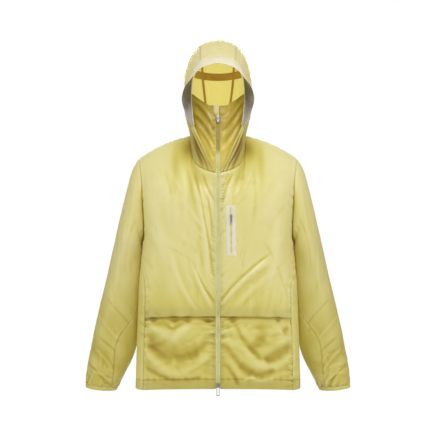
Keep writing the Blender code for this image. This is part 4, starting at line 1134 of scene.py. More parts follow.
@dataclass
class ClothPanel:
    """One cut piece as a fine sheet, before it is made into an object.

    The grid is refined from the form's coarse one. Heights are added up and laid on at
    the end, along the cloth's own normals; shade is painted shade, and painted light where
    it is over 0, that adds to what the finish reads.
    """

    name: str
    coarse: Array
    inside: Array | Row
    spacing: float = 0.0032
    heights: Array = field(init=False)
    shade: Array = field(init=False)

    def __post_init__(self) -> None:
        """Refine the grid and measure it."""
        rows, cols = self._knots(self.coarse), self._knots(turned(self.coarse))
        self.row_at, fine_rows = self._stops(rows)
        self.col_at, fine_cols = self._stops(cols)
        points = through(self.coarse, rows, fine_rows)
        points = turned(through(turned(points), cols, fine_cols))
        self.base = points
        inside = np.asarray(self.inside)
        if inside.ndim == 3:
            inside = through(inside, rows, fine_rows)
        normals = unit(np.cross(np.gradient(points, axis=1), np.gradient(points, axis=0)))
        self.normals = normals if np.sum(normals * (points - inside)) >= 0 else -normals
        self.heights = np.zeros(points.shape[:2])
        self.shade = np.zeros(points.shape[:2])
        self.down, self.over = self._runs(points), self._runs(turned(points)).T

    @staticmethod
    def _knots(points: Array) -> Array:
        """Mean distance of each row from the first."""
        steps = np.linalg.norm(np.diff(points, axis=0), axis=2).mean(axis=1)
        return np.concatenate([[0.0], np.cumsum(steps)])

    @staticmethod
    def _runs(points: Array) -> Array:
        """Length run down each column of a grid."""
        steps = np.linalg.norm(np.diff(points, axis=0), axis=2)
        return np.concatenate([np.zeros((1, points.shape[1])), np.cumsum(steps, axis=0)])

    def _stops(self, knots: Array) -> tuple[Array, Array]:
        """Choose fine rows between coarse ones.

        Args:
            knots: places of the coarse rows.

        Returns:
            The fine rows' numbers among the coarse ones, and their places.
        """
        numbers = [np.zeros(1)]
        for k, gap in enumerate(np.diff(knots)):
            count = max(1, int(round(gap / self.spacing)))
            numbers.append(k + np.arange(1, count + 1) / count)
        at = np.concatenate(numbers)
        return at, np.interp(at, np.arange(len(knots)), knots)

    def from_edge(self, edge: Edge) -> tuple[Array, Array]:
        """Measure from an edge.

        Args:
            edge: which edge.

        Returns:
            Each point's distance from it, and its place along it.
        """
        sideways, last = edge.value
        off, along = (self.over, self.down) if sideways else (self.down, self.over)
        if last:
            off = (off[:, -1:] if sideways else off[-1:]) - off
        return off, along

    def crease(self, rows: Iterable[Row], fade: Array | float, x: Array, z: Array) -> None:
        """Add creases, as far as they fade in.

        Args:
            rows: the creases' table.
            fade: share of them at each point.
            x: the table's first coordinate at each point.
            z: the table's second coordinate at each point.
        """
        self.heights += crease_heights(rows, x, z) * fade

    def pucker(self, edge: Edge, height: float, reach: float, pitch: float,
               seed: int) -> None:
        """Draw the cloth up in short creases across a sewn edge.

        Args:
            edge: the edge.
            height: the creases' height at the seam.
            reach: how far they run in.
            pitch: distance from crease to crease.
            seed: draws their places.
        """
        off, along = self.from_edge(edge)
        draw = np.random.default_rng(seed)
        wave = np.zeros_like(along)
        for factor in (1.0, 0.62, 1.7, 2.3):
            slant = draw.uniform(-0.5, 0.5)
            wave += np.sin(2 * math.pi * (along + slant * off) / (pitch * factor)
                           + draw.uniform(0, 6.28)) * draw.uniform(0.5, 1.0)
        local = 0.55 + 0.45 * np.sin(along / 0.047 + draw.uniform(0, 6.28))
        self.heights += (height * 0.5 * wave * local * np.exp(-off / reach)
                         * ease(off / 0.0012))

    def seam_roll(self, edge: Edge, depth: float = 0.0011, bead: float = 0.0005) -> None:
        """Sink the cloth into a seam, with a low bead of turned cloth beside it.

        Args:
            edge: the sewn edge.
            depth: how deep the seam line lies.
            bead: how high the bead stands.
        """
        off, _ = self.from_edge(edge)
        self.heights += (-depth * np.exp(-(off / 0.0022) ** 2)
                         + bead * np.exp(-((off - 0.0065) / 0.0030) ** 2))

    def hem(self, first: float, second: float, phase: int) -> None:
        """Draw the cloth in along the hem's line, above which the elastic gathers it.

        Args:
            first: length of the gathers' first wave.
            second: length of their second wave.
            phase: where the waves start.
        """
        off, along = self.from_edge(Edge.BOTTOM)
        above = np.abs(off - HEM_LINE)
        draw = np.sin(along / first + phase) + 0.7 * np.sin(along / second + 2 * phase)
        self.heights += 0.0005 * draw * np.exp(-above / 0.006) * ease(off / 0.004)
        self.heights -= 0.0011 * np.exp(-(above / 0.0018) ** 2)
        # painted shade along the hem's sunken line
        self.shade -= 0.5 * np.exp(-(above / 0.0016) ** 2)

    def outer(self) -> Array:
        """The sheet's points with its heights laid on."""
        return self.base + self.normals * self.heights[:, :, None]

    def relief(self, lips: dict[Edge, Lip], near: int = 5, full: float = 0.0022) -> Array:
        """Tell ridges from troughs, for the finish's painted highlight and shade.

        Args:
            lips: the turned edges, which carry on their edge's value.
            near: how many points each way a height is compared with.
            full: height over its surroundings that counts as a whole ridge.

        Returns:
            A value for each point, over 0 on a ridge and under it in a trough, with the
            panel's painted shade added.
        """
        mean = self.heights
        for axis in (0, 1):
            line = np.moveaxis(mean, axis, 0)
            padded = np.concatenate([line[:1]] * near + [line] + [line[-1:]] * near)
            total = np.concatenate([np.zeros_like(line[:1]), np.cumsum(padded, axis=0)])
            width = 2 * near + 1
            mean = np.moveaxis((total[width:] - total[:-width]) / width, 0, axis)
        # painted highlight on ridges at half strength, painted shade in troughs, plus the
        # panel's painted shade
        values = np.tanh((self.heights - mean) / full)
        values = np.where(values > 0.0, 0.5, 1.0) * values + self.shade
        top, bottom, start, end = (len(lips[edge].value) for edge in Edge)
        return np.pad(values, ((top, bottom), (start, end)), mode="edge")

    def with_lips(self, lips: dict[Edge, Lip]) -> Array:
        """Turn the edges in.

        Args:
            lips: how each edge is turned.

        Returns:
            The grid with the turned rows and columns added.
        """
        points, normals = self.outer(), self.normals
        for edge in Edge:
            sideways, last = edge.value
            if sideways:
                points, normals = turned(points), turned(normals)
            line, following = (points[-1], points[-3]) if last else (points[0], points[2])
            way, face = unit(following - line), normals[-1] if last else normals[0]
            rows = [line + way * along - face * deep for along, deep in lips[edge].value]
            if rows and last:
                points = np.concatenate([points, rows])
                normals = np.concatenate([normals, [face] * len(rows)])
            elif rows:
                points = np.concatenate([rows[::-1], points])
                normals = np.concatenate([[face] * len(rows), normals])
            if sideways:
                points, normals = turned(points), turned(normals)
        return points

    def sew(self, node: str, material: Material, slot: str, held: Held,
            lips: dict[Edge, Lip], *rests_on: str) -> Thing:
        """Make the piece, in place of its solid, and state its cut.

        Args:
            node: the solid that it stands for.
            material: its finish.
            slot: the record's slot.
            held: how the cloth is held; not used.
            lips: how its edges are turned; an edge that isn't named is sewn.
            rests_on: what carries it; not used.

        Returns:
            The object.
        """
        lips = {edge: lips.get(edge, Lip.SEAM) for edge in Edge}
        points = self.with_lips(lips)
        thing = grid_object(self.name, points, material)
        values = thing.data.attributes.new(RELIEF_AND_PAINTED_SHADE, "FLOAT", "POINT").data
        values.foreach_set("value", self.relief(lips).ravel())
        across, along = np.diff(points, axis=1), np.diff(points, axis=0)
        width, length = (round(float(np.linalg.norm(steps, axis=2).sum(axis=way).max()), 3)
                         for steps, way in ((across, 1), (along, 0)))
        area = float(np.linalg.norm(np.cross(across[:-1], along[:, :-1]), axis=2).sum())
        area = round(min(area, width * length), 4)
        fit(thing, slot, node)
        LOG.info("%s: cut %.3f x %.3f m, %.4f m2", self.name, width, length, area)
        return thing


@dataclass
class Sewing:
    """All the stitches of one sub-assembly as one piece."""

    name: str
    material: Material
    length: float = 0.0026
    gap: float = 0.0009
    width: float = 0.00050
    lift: float = 0.0001
    parts: list[tuple[Array, list]] = field(default_factory=list)

    def run(self, line: Array, normals: Array) -> None:
        """Stitch along a line.

        Args:
            line: points of the line.
            normals: directions in which the cloth faces there.
        """
        run = run_of(line)
        starts = np.arange(0.001, run[-1] - self.length, self.length + self.gap)
        spots = starts[:, None] + self.length * np.array((0.0, 0.5, 1.0))
        place, face = read(line, run, spots), unit(read(normals, run, spots))
        side = unit(np.cross(place[:, 2] - place[:, 0], face[:, 1]))[:, None]
        half, sink = self.width / 2, np.array((-0.6, 0.6, -0.6)) * self.width
        middle = place + face * (self.lift + sink[None, :, None])
        low = middle - face * self.width * 0.9
        points = np.concatenate([middle, low - side * half, low + side * half], axis=1)
        quads = [(0, 1, 4, 3), (1, 2, 5, 4), (1, 0, 6, 7), (2, 1, 7, 8)]
        self.parts += [(stitch, quads) for stitch in points]

    def along(self, panel: ClothPanel, *edges: Edge, away: float = STITCH_AWAY) -> None:
        """Stitch a panel parallel to its edges.

        Args:
            panel: the panel.
            edges: which edges.
            away: distance from them.
        """
        for edge in edges:
            sideways, last = edge.value
            points, normals, off = panel.outer(), panel.normals, panel.from_edge(edge)[0]
            if sideways:
                points, normals, off = turned(points), turned(normals), off.T
            if last:
                points, normals, off = points[::-1], normals[::-1], off[::-1]
            line, faces = (np.array([read(grid[:, c], off[:, c], away)
                                     for c in range(grid.shape[1])])
                           for grid in (points, normals))
            self.run(line, faces)

    def finish(self) -> None:
        """Make the stitches into one object."""
        fit(join_parts(self.name, self.parts, self.material), "nylon")
        LOG.info("%s: %d stitches", self.name, len(self.parts))


# ---------------- body
@dataclass
class Body:
    """Fronts, lower fronts and back."""

    form: JacketForm
    cloths: Cloths
    tuck: float = 0.0030
    flap_stand: float = 0.0032
    flap_ripple: float = 0.0024
    flap_gape: float = 0.0022
    swag_height: float = 0.0026
    back_spacing: float = 0.0034
    seam_clear: float = 0.14
    zip_clear: tuple[float, float] = (0.014, 0.030)
    # creases are rows of x and z of both ends, sag, half width and height
    front_folds: Table = table(
        (-62, -130, -22, -372, 12, 8, 3), (-30, -180, -16, -275, 4, 7, 3),
        (32, -150, 18, -225, -3, 7, 3), (128, -350, 20, -450, 6, 8, 3.2),
        (-66, -352, -16, -462, -4, 7, 2.6), (-170, -250, -120, -440, 10, 22, 2.6),
        (165, -230, 130, -420, -10, 22, 2.6), (175, -120, 120, -230, -6, 20, 2.2),
        (-175, -120, -115, -230, 6, 20, 2.2))
    front_creases: Table = table(
        (-60, -120, -15, -375, 4, 3.6, -3.4), (-69, -125, -27, -350, 6, 8, 2.2),
        (-29, -168, -15.5, -275, 2, 3, -2.4), (-36, -150, -12, -215, 2, 4, 1.6),
        (-40, -112, -10, -180, -3, 3, -2), (38, -112, 10, -190, 3, 3, -2.6),
        (30, -106, 9, -158, 2, 2.8, -1.8), (46, -118, 16, -205, 4, 4.5, 1.8),
        (134, -332, 10, -447, 6, 3, -2.6), (100, -372, 12, -462, 6, 4.5, 1.8),
        (160, -372, 60, -458, 6, 7, 1.4), (-66, -350, -10, -456, -6, 3.6, -2.8),
        (-60, -375, -18, -470, -4, 4, 1.8), (-125, -340, -60, -475, -8, 7, 1.4),
        (-145, -100, -125, -240, 6, 6, -0.8), (-100, -90, -90, -230, 4, 6, 0.8),
        (100, -90, 95, -240, -4, 6, -0.8), (130, -300, 190, -440, 4, 5, -0.8))
    lower_folds: Table = table(
        (-192, -560, -35, -575, -40, 18, -2.6), (-192, -600, -20, -598, -58, 16, 2.2),
        (18, -555, 190, -612, -45, 16, 2))
    # broad satin swags: creases whose last column is their tone, painted highlight over 0
    # and painted shade under it, and sets their height too, 1000 for a whole one
    swags: Table = table(
        (-194, -508, -119, -558, -4, 12, 700), (-119, -558, -61, -503, 4, 12, 800),
        (-132, -516, -120, -524, 0, 6, 600), (-155, -503, -125, -530, 0, 6, -700),
        (-125, -532, -92, -508, 0, 6, -700), (-190, -568, -119, -600, -4, 21, -1600),
        (-119, -600, -56, -587, -4, 21, -1600), (-56, -583, -11, -544, -2, 13, -700),
        (-200, -591, -119, -649, -6, 11, 500), (-119, -649, -56, -627, -3, 10, 500),
        (-56, -627, -9, -588, 0, 9, 400), (-202, -635, -128, -666, -3, 6, -700),
        (-128, -667, -50, -660, -2, 5, -500), (-80, -650, -12, -606, 0, 6, -500),
        (19, -555, 66, -583, 2, 13, 600), (66, -583, 116, -630, 0, 12, 700),
        (116, -632, 149, -636, 0, 11, 400), (149, -636, 204, -605, -3, 10, 500),
        (46, -512, 66, -555, 0, 6, -600), (66, -555, 116, -611, 0, 8, -800),
        (60, -503, 93, -561, 0, 14, 200), (112, -512, 126, -555, 0, 13, -800),
        (126, -555, 90, -592, 4, 14, -1300), (146, -508, 177, -550, 0, 9, 300),
        (177, -538, 196, -528, 0, 8, -900), (127, -602, 160, -572, 2, 8, 200),
        (160, -572, 204, -555, 2, 8, 400), (129, -615, 171, -596, -1, 14, -1500),
        (171, -596, 204, -578, -1, 13, -1300), (14, -575, 60, -624, 3, 8, -1000),
        (60, -624, 94, -649, -1, 11, -1300), (94, -649, 150, -643, -6, 10, -1100),
        (10, -594, 66, -663, 4, 8, 400), (10, -616, 55, -680, 4, 6, -800),
        (71, -666, 103, -665, 3, 3, 1200), (103, -667, 150, -664, -2, 3, 1000))
    # x, z, half width, half height and tone of each part of the shadow beside the hood
    neck_shadow: Table = table(
        (78, -34, 26, 30, 1700), (92, -60, 46, 50, 600), (66, -110, 20, 60, 500),
        (118, -90, 10, 70, 500), (40, -120, 40, 20, 400))
    # x and half width of the places where the flap gapes
    gapes: Table = table((-118, 16), (-82, 12), (-26, 16), (-178, 14), (40, 12), (165, 10))
    back_folds: Table = table(
        (-150, -210, -60, -400, 18, 14, 4), (150, -210, 70, -420, -18, 14, 4),
        (-130, -480, 60, -520, -30, 16, 4.5), (-40, -560, 160, -600, -30, 16, -4),
        (-90, -50, 90, -50, -20, 14, 3), (-180, -600, -60, -655, -15, 14, 4))
    back_creases: Table = table(
        (-120, -80, -50, -180, 10, 6, -2), (120, -80, 55, -190, -10, 6, -2),
        (-175, -230, -90, -330, 12, 6, 2.2), (175, -230, 95, -340, -12, 6, 2.2),
        (-100, -380, 30, -430, -14, 7, -2.2), (130, -400, 10, -460, 14, 7, 2.2),
        (-150, -540, -10, -590, -18, 6, 2.6), (150, -640, 20, -660, 10, 6, 2.2),
        (20, -280, 35, -400, 6, 8, 1.4))

    def _scallops(self, x: Array) -> Array:
        """How far the flap gapes at places along its edge, 0 to 1."""
        return sum(np.exp(-((x - middle) / half) ** 2) for middle, half in self.gapes)

    def _strewn(self, side: Side) -> tuple[float, float]:
        """Where across a front the small creases are strewn."""
        return (0.02, 0.20) if side is Side.LEFT else (-0.20, -0.02)

    def _clear(self, x: Array, w: Array) -> Array:
        """Share of the large folds at places clear of the zip and the side seam."""
        start, grow = self.zip_clear
        return ease((1.0 - w) / self.seam_clear) * ease((np.abs(x) - start) / grow)

    def _front(self, side: Side, lower: bool) -> tuple[ClothPanel, Array, Edge, Edge]:
        """Lay out a front's sheet.

        Args:
            side: which front.
            lower: the lower front or the upper one.

        Returns:
            The sheet, its column shares, its edge at the zip and its edge at the side.
        """
        coarse = self.form.lower_front() if lower else self.form.upper_front()
        shares = self.form.front_columns()
        middle, outer = Edge.START, Edge.END
        if side is Side.RIGHT:
            coarse, shares, middle, outer = mirrored(coarse), shares[::-1], outer, middle
        name = ("lower_front_" if lower else "front_") + side.label + "_cloth"
        panel = ClothPanel(name, coarse, BODY_MIDDLE)
        w = np.interp(panel.col_at, np.arange(len(shares)), shares)
        return panel, np.tile(w, (len(panel.row_at), 1)), middle, outer

    def front(self, side: Side, sewing: Sewing) -> Thing:
        """Make an upper front.

        Args:
            side: which front.
            sewing: takes its stitches.

        Returns:
            The cloth.
        """
        panel, w, middle, outer = self._front(side, lower=False)
        x, z = panel.base[:, :, 0], panel.base[:, :, 2]
        r = np.tile(panel.row_at[:, None], (1, w.shape[1]))
        last = panel.coarse.shape[0] - 1
        fade = ease(r / 4.0) * self._clear(x, w) * (1.0 - 0.6 * ease(r - last + 1))
        panel.crease(self.front_folds, fade, x, z)
        panel.heights += (self.flap_stand * ease((r - last + 4) / 4.0)
                          * (1.0 - np.abs(2.0 * w - 1.0) ** 6))
        # painted shade over the flap's lower band
        panel.shade -= 0.35 * ease((r - last + 4) / 4.0)
        seed, lean = (11, -118.0) if side is Side.LEFT else (12, -62.0)
        low, high = self._strewn(side)
        fine = (self.front_creases
                + Scatter(seed, 46, (low, high), (-0.49, -0.10), lean, 22.0,
                          height=0.0005).rows()
                + Scatter(seed + 2, 26, (low * 0.4, high * 0.45), (-0.48, -0.12), lean,
                          16.0, (0.02, 0.05), (0.002, 0.004), 0.0008).rows())
        panel.crease(fine, ease(panel.from_edge(middle)[0] / 0.004), x, z)
        panel.pucker(middle, 0.0022, 0.012, 0.013, seed + 10)
        panel.pucker(outer, 0.0016, 0.010, 0.014, seed + 20)
        panel.pucker(Edge.TOP, 0.0010, 0.008, 0.016, seed + 30)
        flap, along = panel.from_edge(Edge.BOTTOM)
        wave = (np.sin(along / 0.0135 + seed) * 0.5
                + np.sin(along / 0.0074 + 2.0 * seed) * 0.35)
        free = np.exp(-flap / 0.016) * np.sin(math.pi * w)
        panel.heights += self.flap_ripple * wave * free
        panel.base[:, :, 2] += self.flap_gape * self._scallops(x) * free
        for spot, drop, wide, tall, deep in self.neck_shadow:
            panel.shade -= deep * np.exp(-((np.abs(x) - spot) / wide) ** 2
                                         - ((z - drop) / tall) ** 2)
        for edge in (Edge.TOP, outer):
            panel.seam_roll(edge)
        # painted shade along the armhole seam, where the sleeve meets the front
        panel.shade -= (2.4 * np.exp(-panel.from_edge(outer)[0] / 0.003)
                        * ease((-0.10 - z) / 0.06) * ease((z + 0.32) / 0.03))
        sewing.along(panel, Edge.BOTTOM, Edge.TOP, middle)
        return panel.sew("front_" + side.label, self.cloths.nylon, "nylon", Held.DRAPED,
                         {middle: Lip.NARROW_HEM, Edge.BOTTOM: Lip.ROLLED}, "back_cloth")

    def lower_front(self, side: Side, sewing: Sewing) -> None:
        """Make a lower front.

        Args:
            side: which front.
            sewing: takes its stitches.
        """
        panel, w, middle, outer = self._front(side, lower=True)
        x, z = panel.base[:, :, 0], panel.base[:, :, 2]
        hem = np.where(z > -0.672, 1.0, ease((z + 0.70) / 0.028))
        fade = ease((-0.512 - z) / 0.018) * self._clear(x, w) * hem
        panel.crease(self.lower_folds, fade, x, z)
        swags = crease_heights(self.swags, x, z) * np.sqrt(hem)
        panel.heights += self.swag_height * np.tanh(swags) * fade
        # painted highlight and shade over the swags, and painted shade over the whole lower
        # front
        panel.shade += 0.64 * np.tanh(0.62 * swags) - 0.30
        panel.heights -= self.tuck * ease((z + 0.540) / 0.030)
        gape = self._scallops(x)
        # painted shadow under the flap's edge, deeper where it gapes
        panel.shade -= (0.6 + 0.7 * gape) * ease((z + 0.506 + 0.009 * gape) / 0.006)
        seed = 41 if side is Side.LEFT else 42
        fine = Scatter(seed, 24, self._strewn(side), (-0.68, -0.51), 0.0, 34.0,
                       (0.03, 0.08), (0.004, 0.008), 0.0009).rows()
        panel.crease(fine, ease((-0.505 - z) / 0.020)
                     * ease(panel.from_edge(middle)[0] / 0.004), x, z)
        panel.pucker(middle, 0.0050, 0.015, 0.012, seed + 10)
        panel.pucker(outer, 0.0036, 0.013, 0.015, seed + 20)
        panel.hem(0.0029, 0.0047, seed)
        panel.seam_roll(outer)
        sewing.along(panel, Edge.BOTTOM, away=HEM_STITCH_AWAY)
        sewing.along(panel, middle)
        lips = {middle: Lip.NARROW_HEM, Edge.BOTTOM: Lip.HEM, Edge.TOP: Lip.RAW}
        panel.sew("lower_front_" + side.label, self.cloths.nylon, "nylon", Held.DRAPED,
                  lips, "back_cloth")

    def back(self, sewing: Sewing) -> None:
        """Make the back.

        Args:
            sewing: takes its stitches.
        """
        shares = self.form.back_columns()
        shares = np.concatenate([shares[:0:-1], shares])
        panel = ClothPanel("back_cloth", self.form.back(), BODY_MIDDLE, self.back_spacing)
        w = np.interp(panel.col_at, np.arange(len(shares)), shares)
        x, z = panel.base[:, :, 0], panel.base[:, :, 2]
        r = panel.row_at[:, None]
        fade = ease(r / 4.0) * ease((1.0 - w[None, :]) / self.seam_clear)
        panel.crease(self.back_folds, fade, x, z)
        fine = Scatter(71, 60, (-0.19, 0.19), (-0.67, -0.06), -75.0, 40.0, (0.03, 0.09),
                       (0.004, 0.008), 0.0009).rows()
        near = ease(r / 2.0)
        for edge in (Edge.START, Edge.END):
            near = near * ease(panel.from_edge(edge)[0] / 0.01)
        panel.crease(self.back_creases + fine, near, x, z)
        for edge, seed in ((Edge.START, 81), (Edge.END, 82)):
            panel.pucker(edge, 0.0022, 0.011, 0.015, seed)
            panel.seam_roll(edge)
        panel.pucker(Edge.TOP, 0.0010, 0.008, 0.016, 83)
        panel.seam_roll(Edge.TOP)
        flank = ease((np.abs(x) - 0.196) / 0.010) * ease((-0.285 - z) / 0.02)
        panel.heights += 0.0014 * flank * ease((z + 0.46) / 0.05)
        # painted shade on the flanks beside the sleeves
        panel.shade -= 0.2 * flank * ease((z + 0.62) / 0.14)
        panel.hem(0.0031, 0.0049, 0)
        sewing.along(panel, Edge.BOTTOM, away=HEM_STITCH_AWAY)
        sewing.along(panel, Edge.TOP)
        panel.sew("back", self.cloths.nylon, "nylon", Held.DRAPED, {Edge.BOTTOM: Lip.HEM})

    def build(self) -> dict[Side, Thing]:
        """Make the whole body.

        Returns:
            The two upper fronts.
        """
        sewing = Sewing("body_stitches", self.cloths.thread)
        self.back(sewing)
        fronts = {}
        for side in Side:
            fronts[side] = self.front(side, sewing)
            self.lower_front(side, sewing)
        sewing.finish()
        return fronts


# ---------------- sleeves
@dataclass
class Sleeves:
    """Two-piece sleeves and their elastic bindings."""

    form: JacketForm
    cloths: Cloths
    length: float = 0.65
    half_ring: float = 0.2275
    top_cells: int = 13
    under_cells: int = 5
    cuff_length: float = 0.010
    cuff_points: int = 264
    cuff_cut: float = 0.023
    cuff_gather: float = 0.00045
    # share of the length and of the half ring at both ends, sag, half width, height
    folds: Table = table(
        (100, 950, 340, 350, 0, 50, 2.2), (200, 980, 460, 450, 0, 50, -2),
        (560, 150, 700, 850, 0, 45, 2), (740, 100, 860, 750, 0, 40, 2.6),
        (820, 50, 930, 700, 0, 34, -2.4), (880, 200, 965, 800, 0, 30, 2.6),
        (520, -100, 680, -800, 0, 45, 4), (780, -100, 900, -750, 0, 40, 4.5),
        (150, -900, 380, -400, 0, 50, 3.5))
    creases: Table = table(
        (50, 300, 300, 450, 20, 6, 0.7), (100, 600, 420, 500, -20, 5, -0.8),
        (300, 200, 560, 400, 20, 6, 0.7), (620, 300, 720, 750, 10, 5, -1.2),
        (700, 150, 800, 620, 10, 5, 1.2), (790, 300, 880, 720, 10, 5, -1.8),
        (840, 250, 920, 600, 10, 5, 1.8), (900, 100, 970, 550, 10, 5, -2.2),
        (930, 300, 985, 700, 10, 5, 2.2), (600, -200, 740, -620, 10, 12, -2),
        (800, -200, 920, -600, 10, 10, -2.6), (860, -150, 960, -550, 10, 9, 2.6))
    # share of the cuff's length and height off the wrist, round the binding
    cuff_profile: Table = table(
        (0, -0.2), (40, 0.4), (140, 0.7), (300, 0.3), (450, 0.7), (600, 0.2), (780, 0.7),
        (920, 0.5), (1000, -0.2), (980, -1.6), (500, -1.8), (50, -1.6))

    def _scaled(self, rows: Table) -> Table:
        """Creases of a table in metres over the sleeve laid flat."""
        scale = np.array((self.length, self.half_ring) * 2 + (self.length,) * 2 + (1.0,))
        return tuple(map(tuple, np.array(rows) * scale))

    def build(self) -> None:
        """Make both sleeves."""
        k_rows = np.concatenate([np.linspace(0.0, self.form.cap_end, 5),
                                 np.linspace(0.31, 1.0, 13)])
        grid, shares = [], []
        for k in k_rows:
            front, rear = smooth_table(self.form.sleeve_seams, k)
            row = np.concatenate([np.linspace(-rear, front, self.top_cells + 1),
                                  np.linspace(front, 2.0 - rear, self.under_cells + 1)[1:]])
            shares.append(row)
            grid.append([self.form.sleeve_point(k, s - 2.0 if s > 1.0 else s) for s in row])
        whole, shares = np.array(grid), np.array(shares)
        middles = np.array([self.form.sleeve_middle(k) for k in k_rows])[:, None, :]
        sewing = Sewing("sleeve_stitches", self.cloths.thread)
        cut = self.top_cells
        for side in Side:
            for part, cols in (("top", slice(0, cut + 1)), ("under", slice(cut, None))):
                self._panel(side, part, whole[:, cols], shares[:, cols], k_rows, middles,
                            sewing)
            self._cuff(side)
        sewing.finish()

    def _panel(self, side: Side, part: str, coarse: Array, shares: Array, k_rows: Array,
               middles: Array, sewing: Sewing) -> None:
        """Make one piece of a sleeve.

        Args:
            side: which sleeve.
            part: top or under.
            coarse: its grid, for the left sleeve.
            shares: share of the ring at each point of it.
            k_rows: share of the length at each row.
            middles: middle of each row.
            sewing: takes its stitches.
        """
        right = side is Side.RIGHT
        if right:
            coarse, shares, middles = mirrored(coarse), shares[:, ::-1], mirrored(middles)
        node = f"sleeve_{part}_{side.label}"
        panel = ClothPanel(node + "_cloth", coarse, middles)
        rows, cols = np.arange(coarse.shape[0]), np.arange(coarse.shape[1])
        k = np.interp(panel.row_at, rows, k_rows)[:, None] * np.ones(len(panel.col_at))
        share = through(through(shares, rows, panel.row_at).T, cols, panel.col_at).T
        u, v = k * self.length, share * self.half_ring
        under_arm = np.abs((share + 1.0) % 2.0 - 1.0)
        away = ease((under_arm - 0.62) / 0.25)
        fade = ease((k - 0.03) / 0.10) * ease((0.995 - k) / 0.03) * (1.0 - away)
        panel.crease(self._scaled(self.folds), fade, u, v)
        seed = 101 + 10 * (part == "under") + 20 * right
        if part == "under":
            fine = Scatter(seed, 40, (0.05, 0.64), (0.12, 0.30), 70.0, 24.0, (0.02, 0.06),
                           (0.004, 0.007), 0.0009).rows()
        else:
            fine = (self._scaled(self.creases)
                    + Scatter(seed, 46, (0.05, 0.64), (-0.20, 0.20), 24.0, 24.0,
                              (0.03, 0.08), (0.003, 0.006), 0.0005).rows()
                    + Scatter(seed + 1, 44, (0.54, 0.648), (-0.19, 0.19), 62.0, 20.0,
                              (0.02, 0.06), (0.002, 0.004), 0.0015).rows())
        free = ease((k - 0.01) / 0.03) * ease((1.0 - k) / 0.01)
        panel.crease(fine, free * (1.0 - 0.7 * away), u, v)
        inner = (ease((under_arm - 0.76) / 0.22) * ease((k - 0.03) / 0.08)
                 * ease((0.84 - k) / 0.20))
        turned = ease((under_arm - 0.80) / 0.15)
        panel.heights += (0.0018 * inner * ease((0.55 - k) / 0.20)
                          + 0.0050 * turned * np.exp(-((k - 0.075) / 0.045) ** 2)
                          * ease(k / 0.030))
        seam = (np.exp(-panel.from_edge(Edge.TOP)[0] / 0.006) * ease((share - 0.30) / 0.25)
                * (share < 1.0))
        # painted shade on the inner side against the body, in the underarm's turn, along the
        # armhole seam, and more of it towards the cuff
        panel.shade -= (2.2 * inner ** 1.5 + 1.6 * turned * ease((0.60 - k) / 0.20)
                        + 0.25 * ease((k - 0.3) / 0.6) + 3.0 * seam)
        panel.pucker(Edge.BOTTOM, 0.0040, 0.016, 0.011, seed + 2)
        panel.pucker(Edge.TOP, 0.00072, 0.010, 0.015, seed + 3)
        for edge, extra in ((Edge.START, 4), (Edge.END, 5)):
            panel.pucker(edge, 0.0012, 0.008, 0.014, seed + extra)
            panel.seam_roll(edge, 0.0009, 0.0003)
        panel.seam_roll(Edge.TOP)
        if part == "top":
            sewing.along(panel, Edge.TOP)
        panel.sew(node, self.cloths.sleeve, "nylon", Held.DRAPED, {},
                  f"front_{side.label}_cloth", "back_cloth")

    def _cuff(self, side: Side) -> None:
        """Make the elastic binding of one wrist, drawn up into small gathers.

        Args:
            side: which wrist.
        """
        middle = self.form.sleeve_middle(1.0)
        way = unit(middle - self.form.sleeve_middle(0.94))
        turns = np.linspace(-1.0, 1.0, self.cuff_points, endpoint=False)
        rims = np.array([self.form.sleeve_point(1.0, s) for s in turns]) - middle
        phase = np.random.default_rng(7 + side.value).uniform(0, 6.28, 3)
        gathers = (np.sin(turns * math.pi * 40 + phase[0])
                   + 0.7 * np.sin(turns * math.pi * 27 + phase[1])
                   + 0.5 * np.sin(turns * math.pi * 61 + phase[2]))
        rows = []
        for t, bulge in self.cuff_profile:
            gather = self.cuff_gather * gathers * math.sin(math.pi * t)
            out = unit(rims) * (bulge + gather)[:, None]
            rows.append(middle + rims * (0.985 - 0.025 * t) + out
                        + way * (0.0003 + self.cuff_length * t))
        points = np.array(rows)
        if side is Side.RIGHT:
            points = mirrored(points)
        thing = grid_object(f"cuff_{side.label}_binding", points, self.cloths.elastic,
                            closed=True)
        fit(thing, "elastic", "cuff_" + side.label)


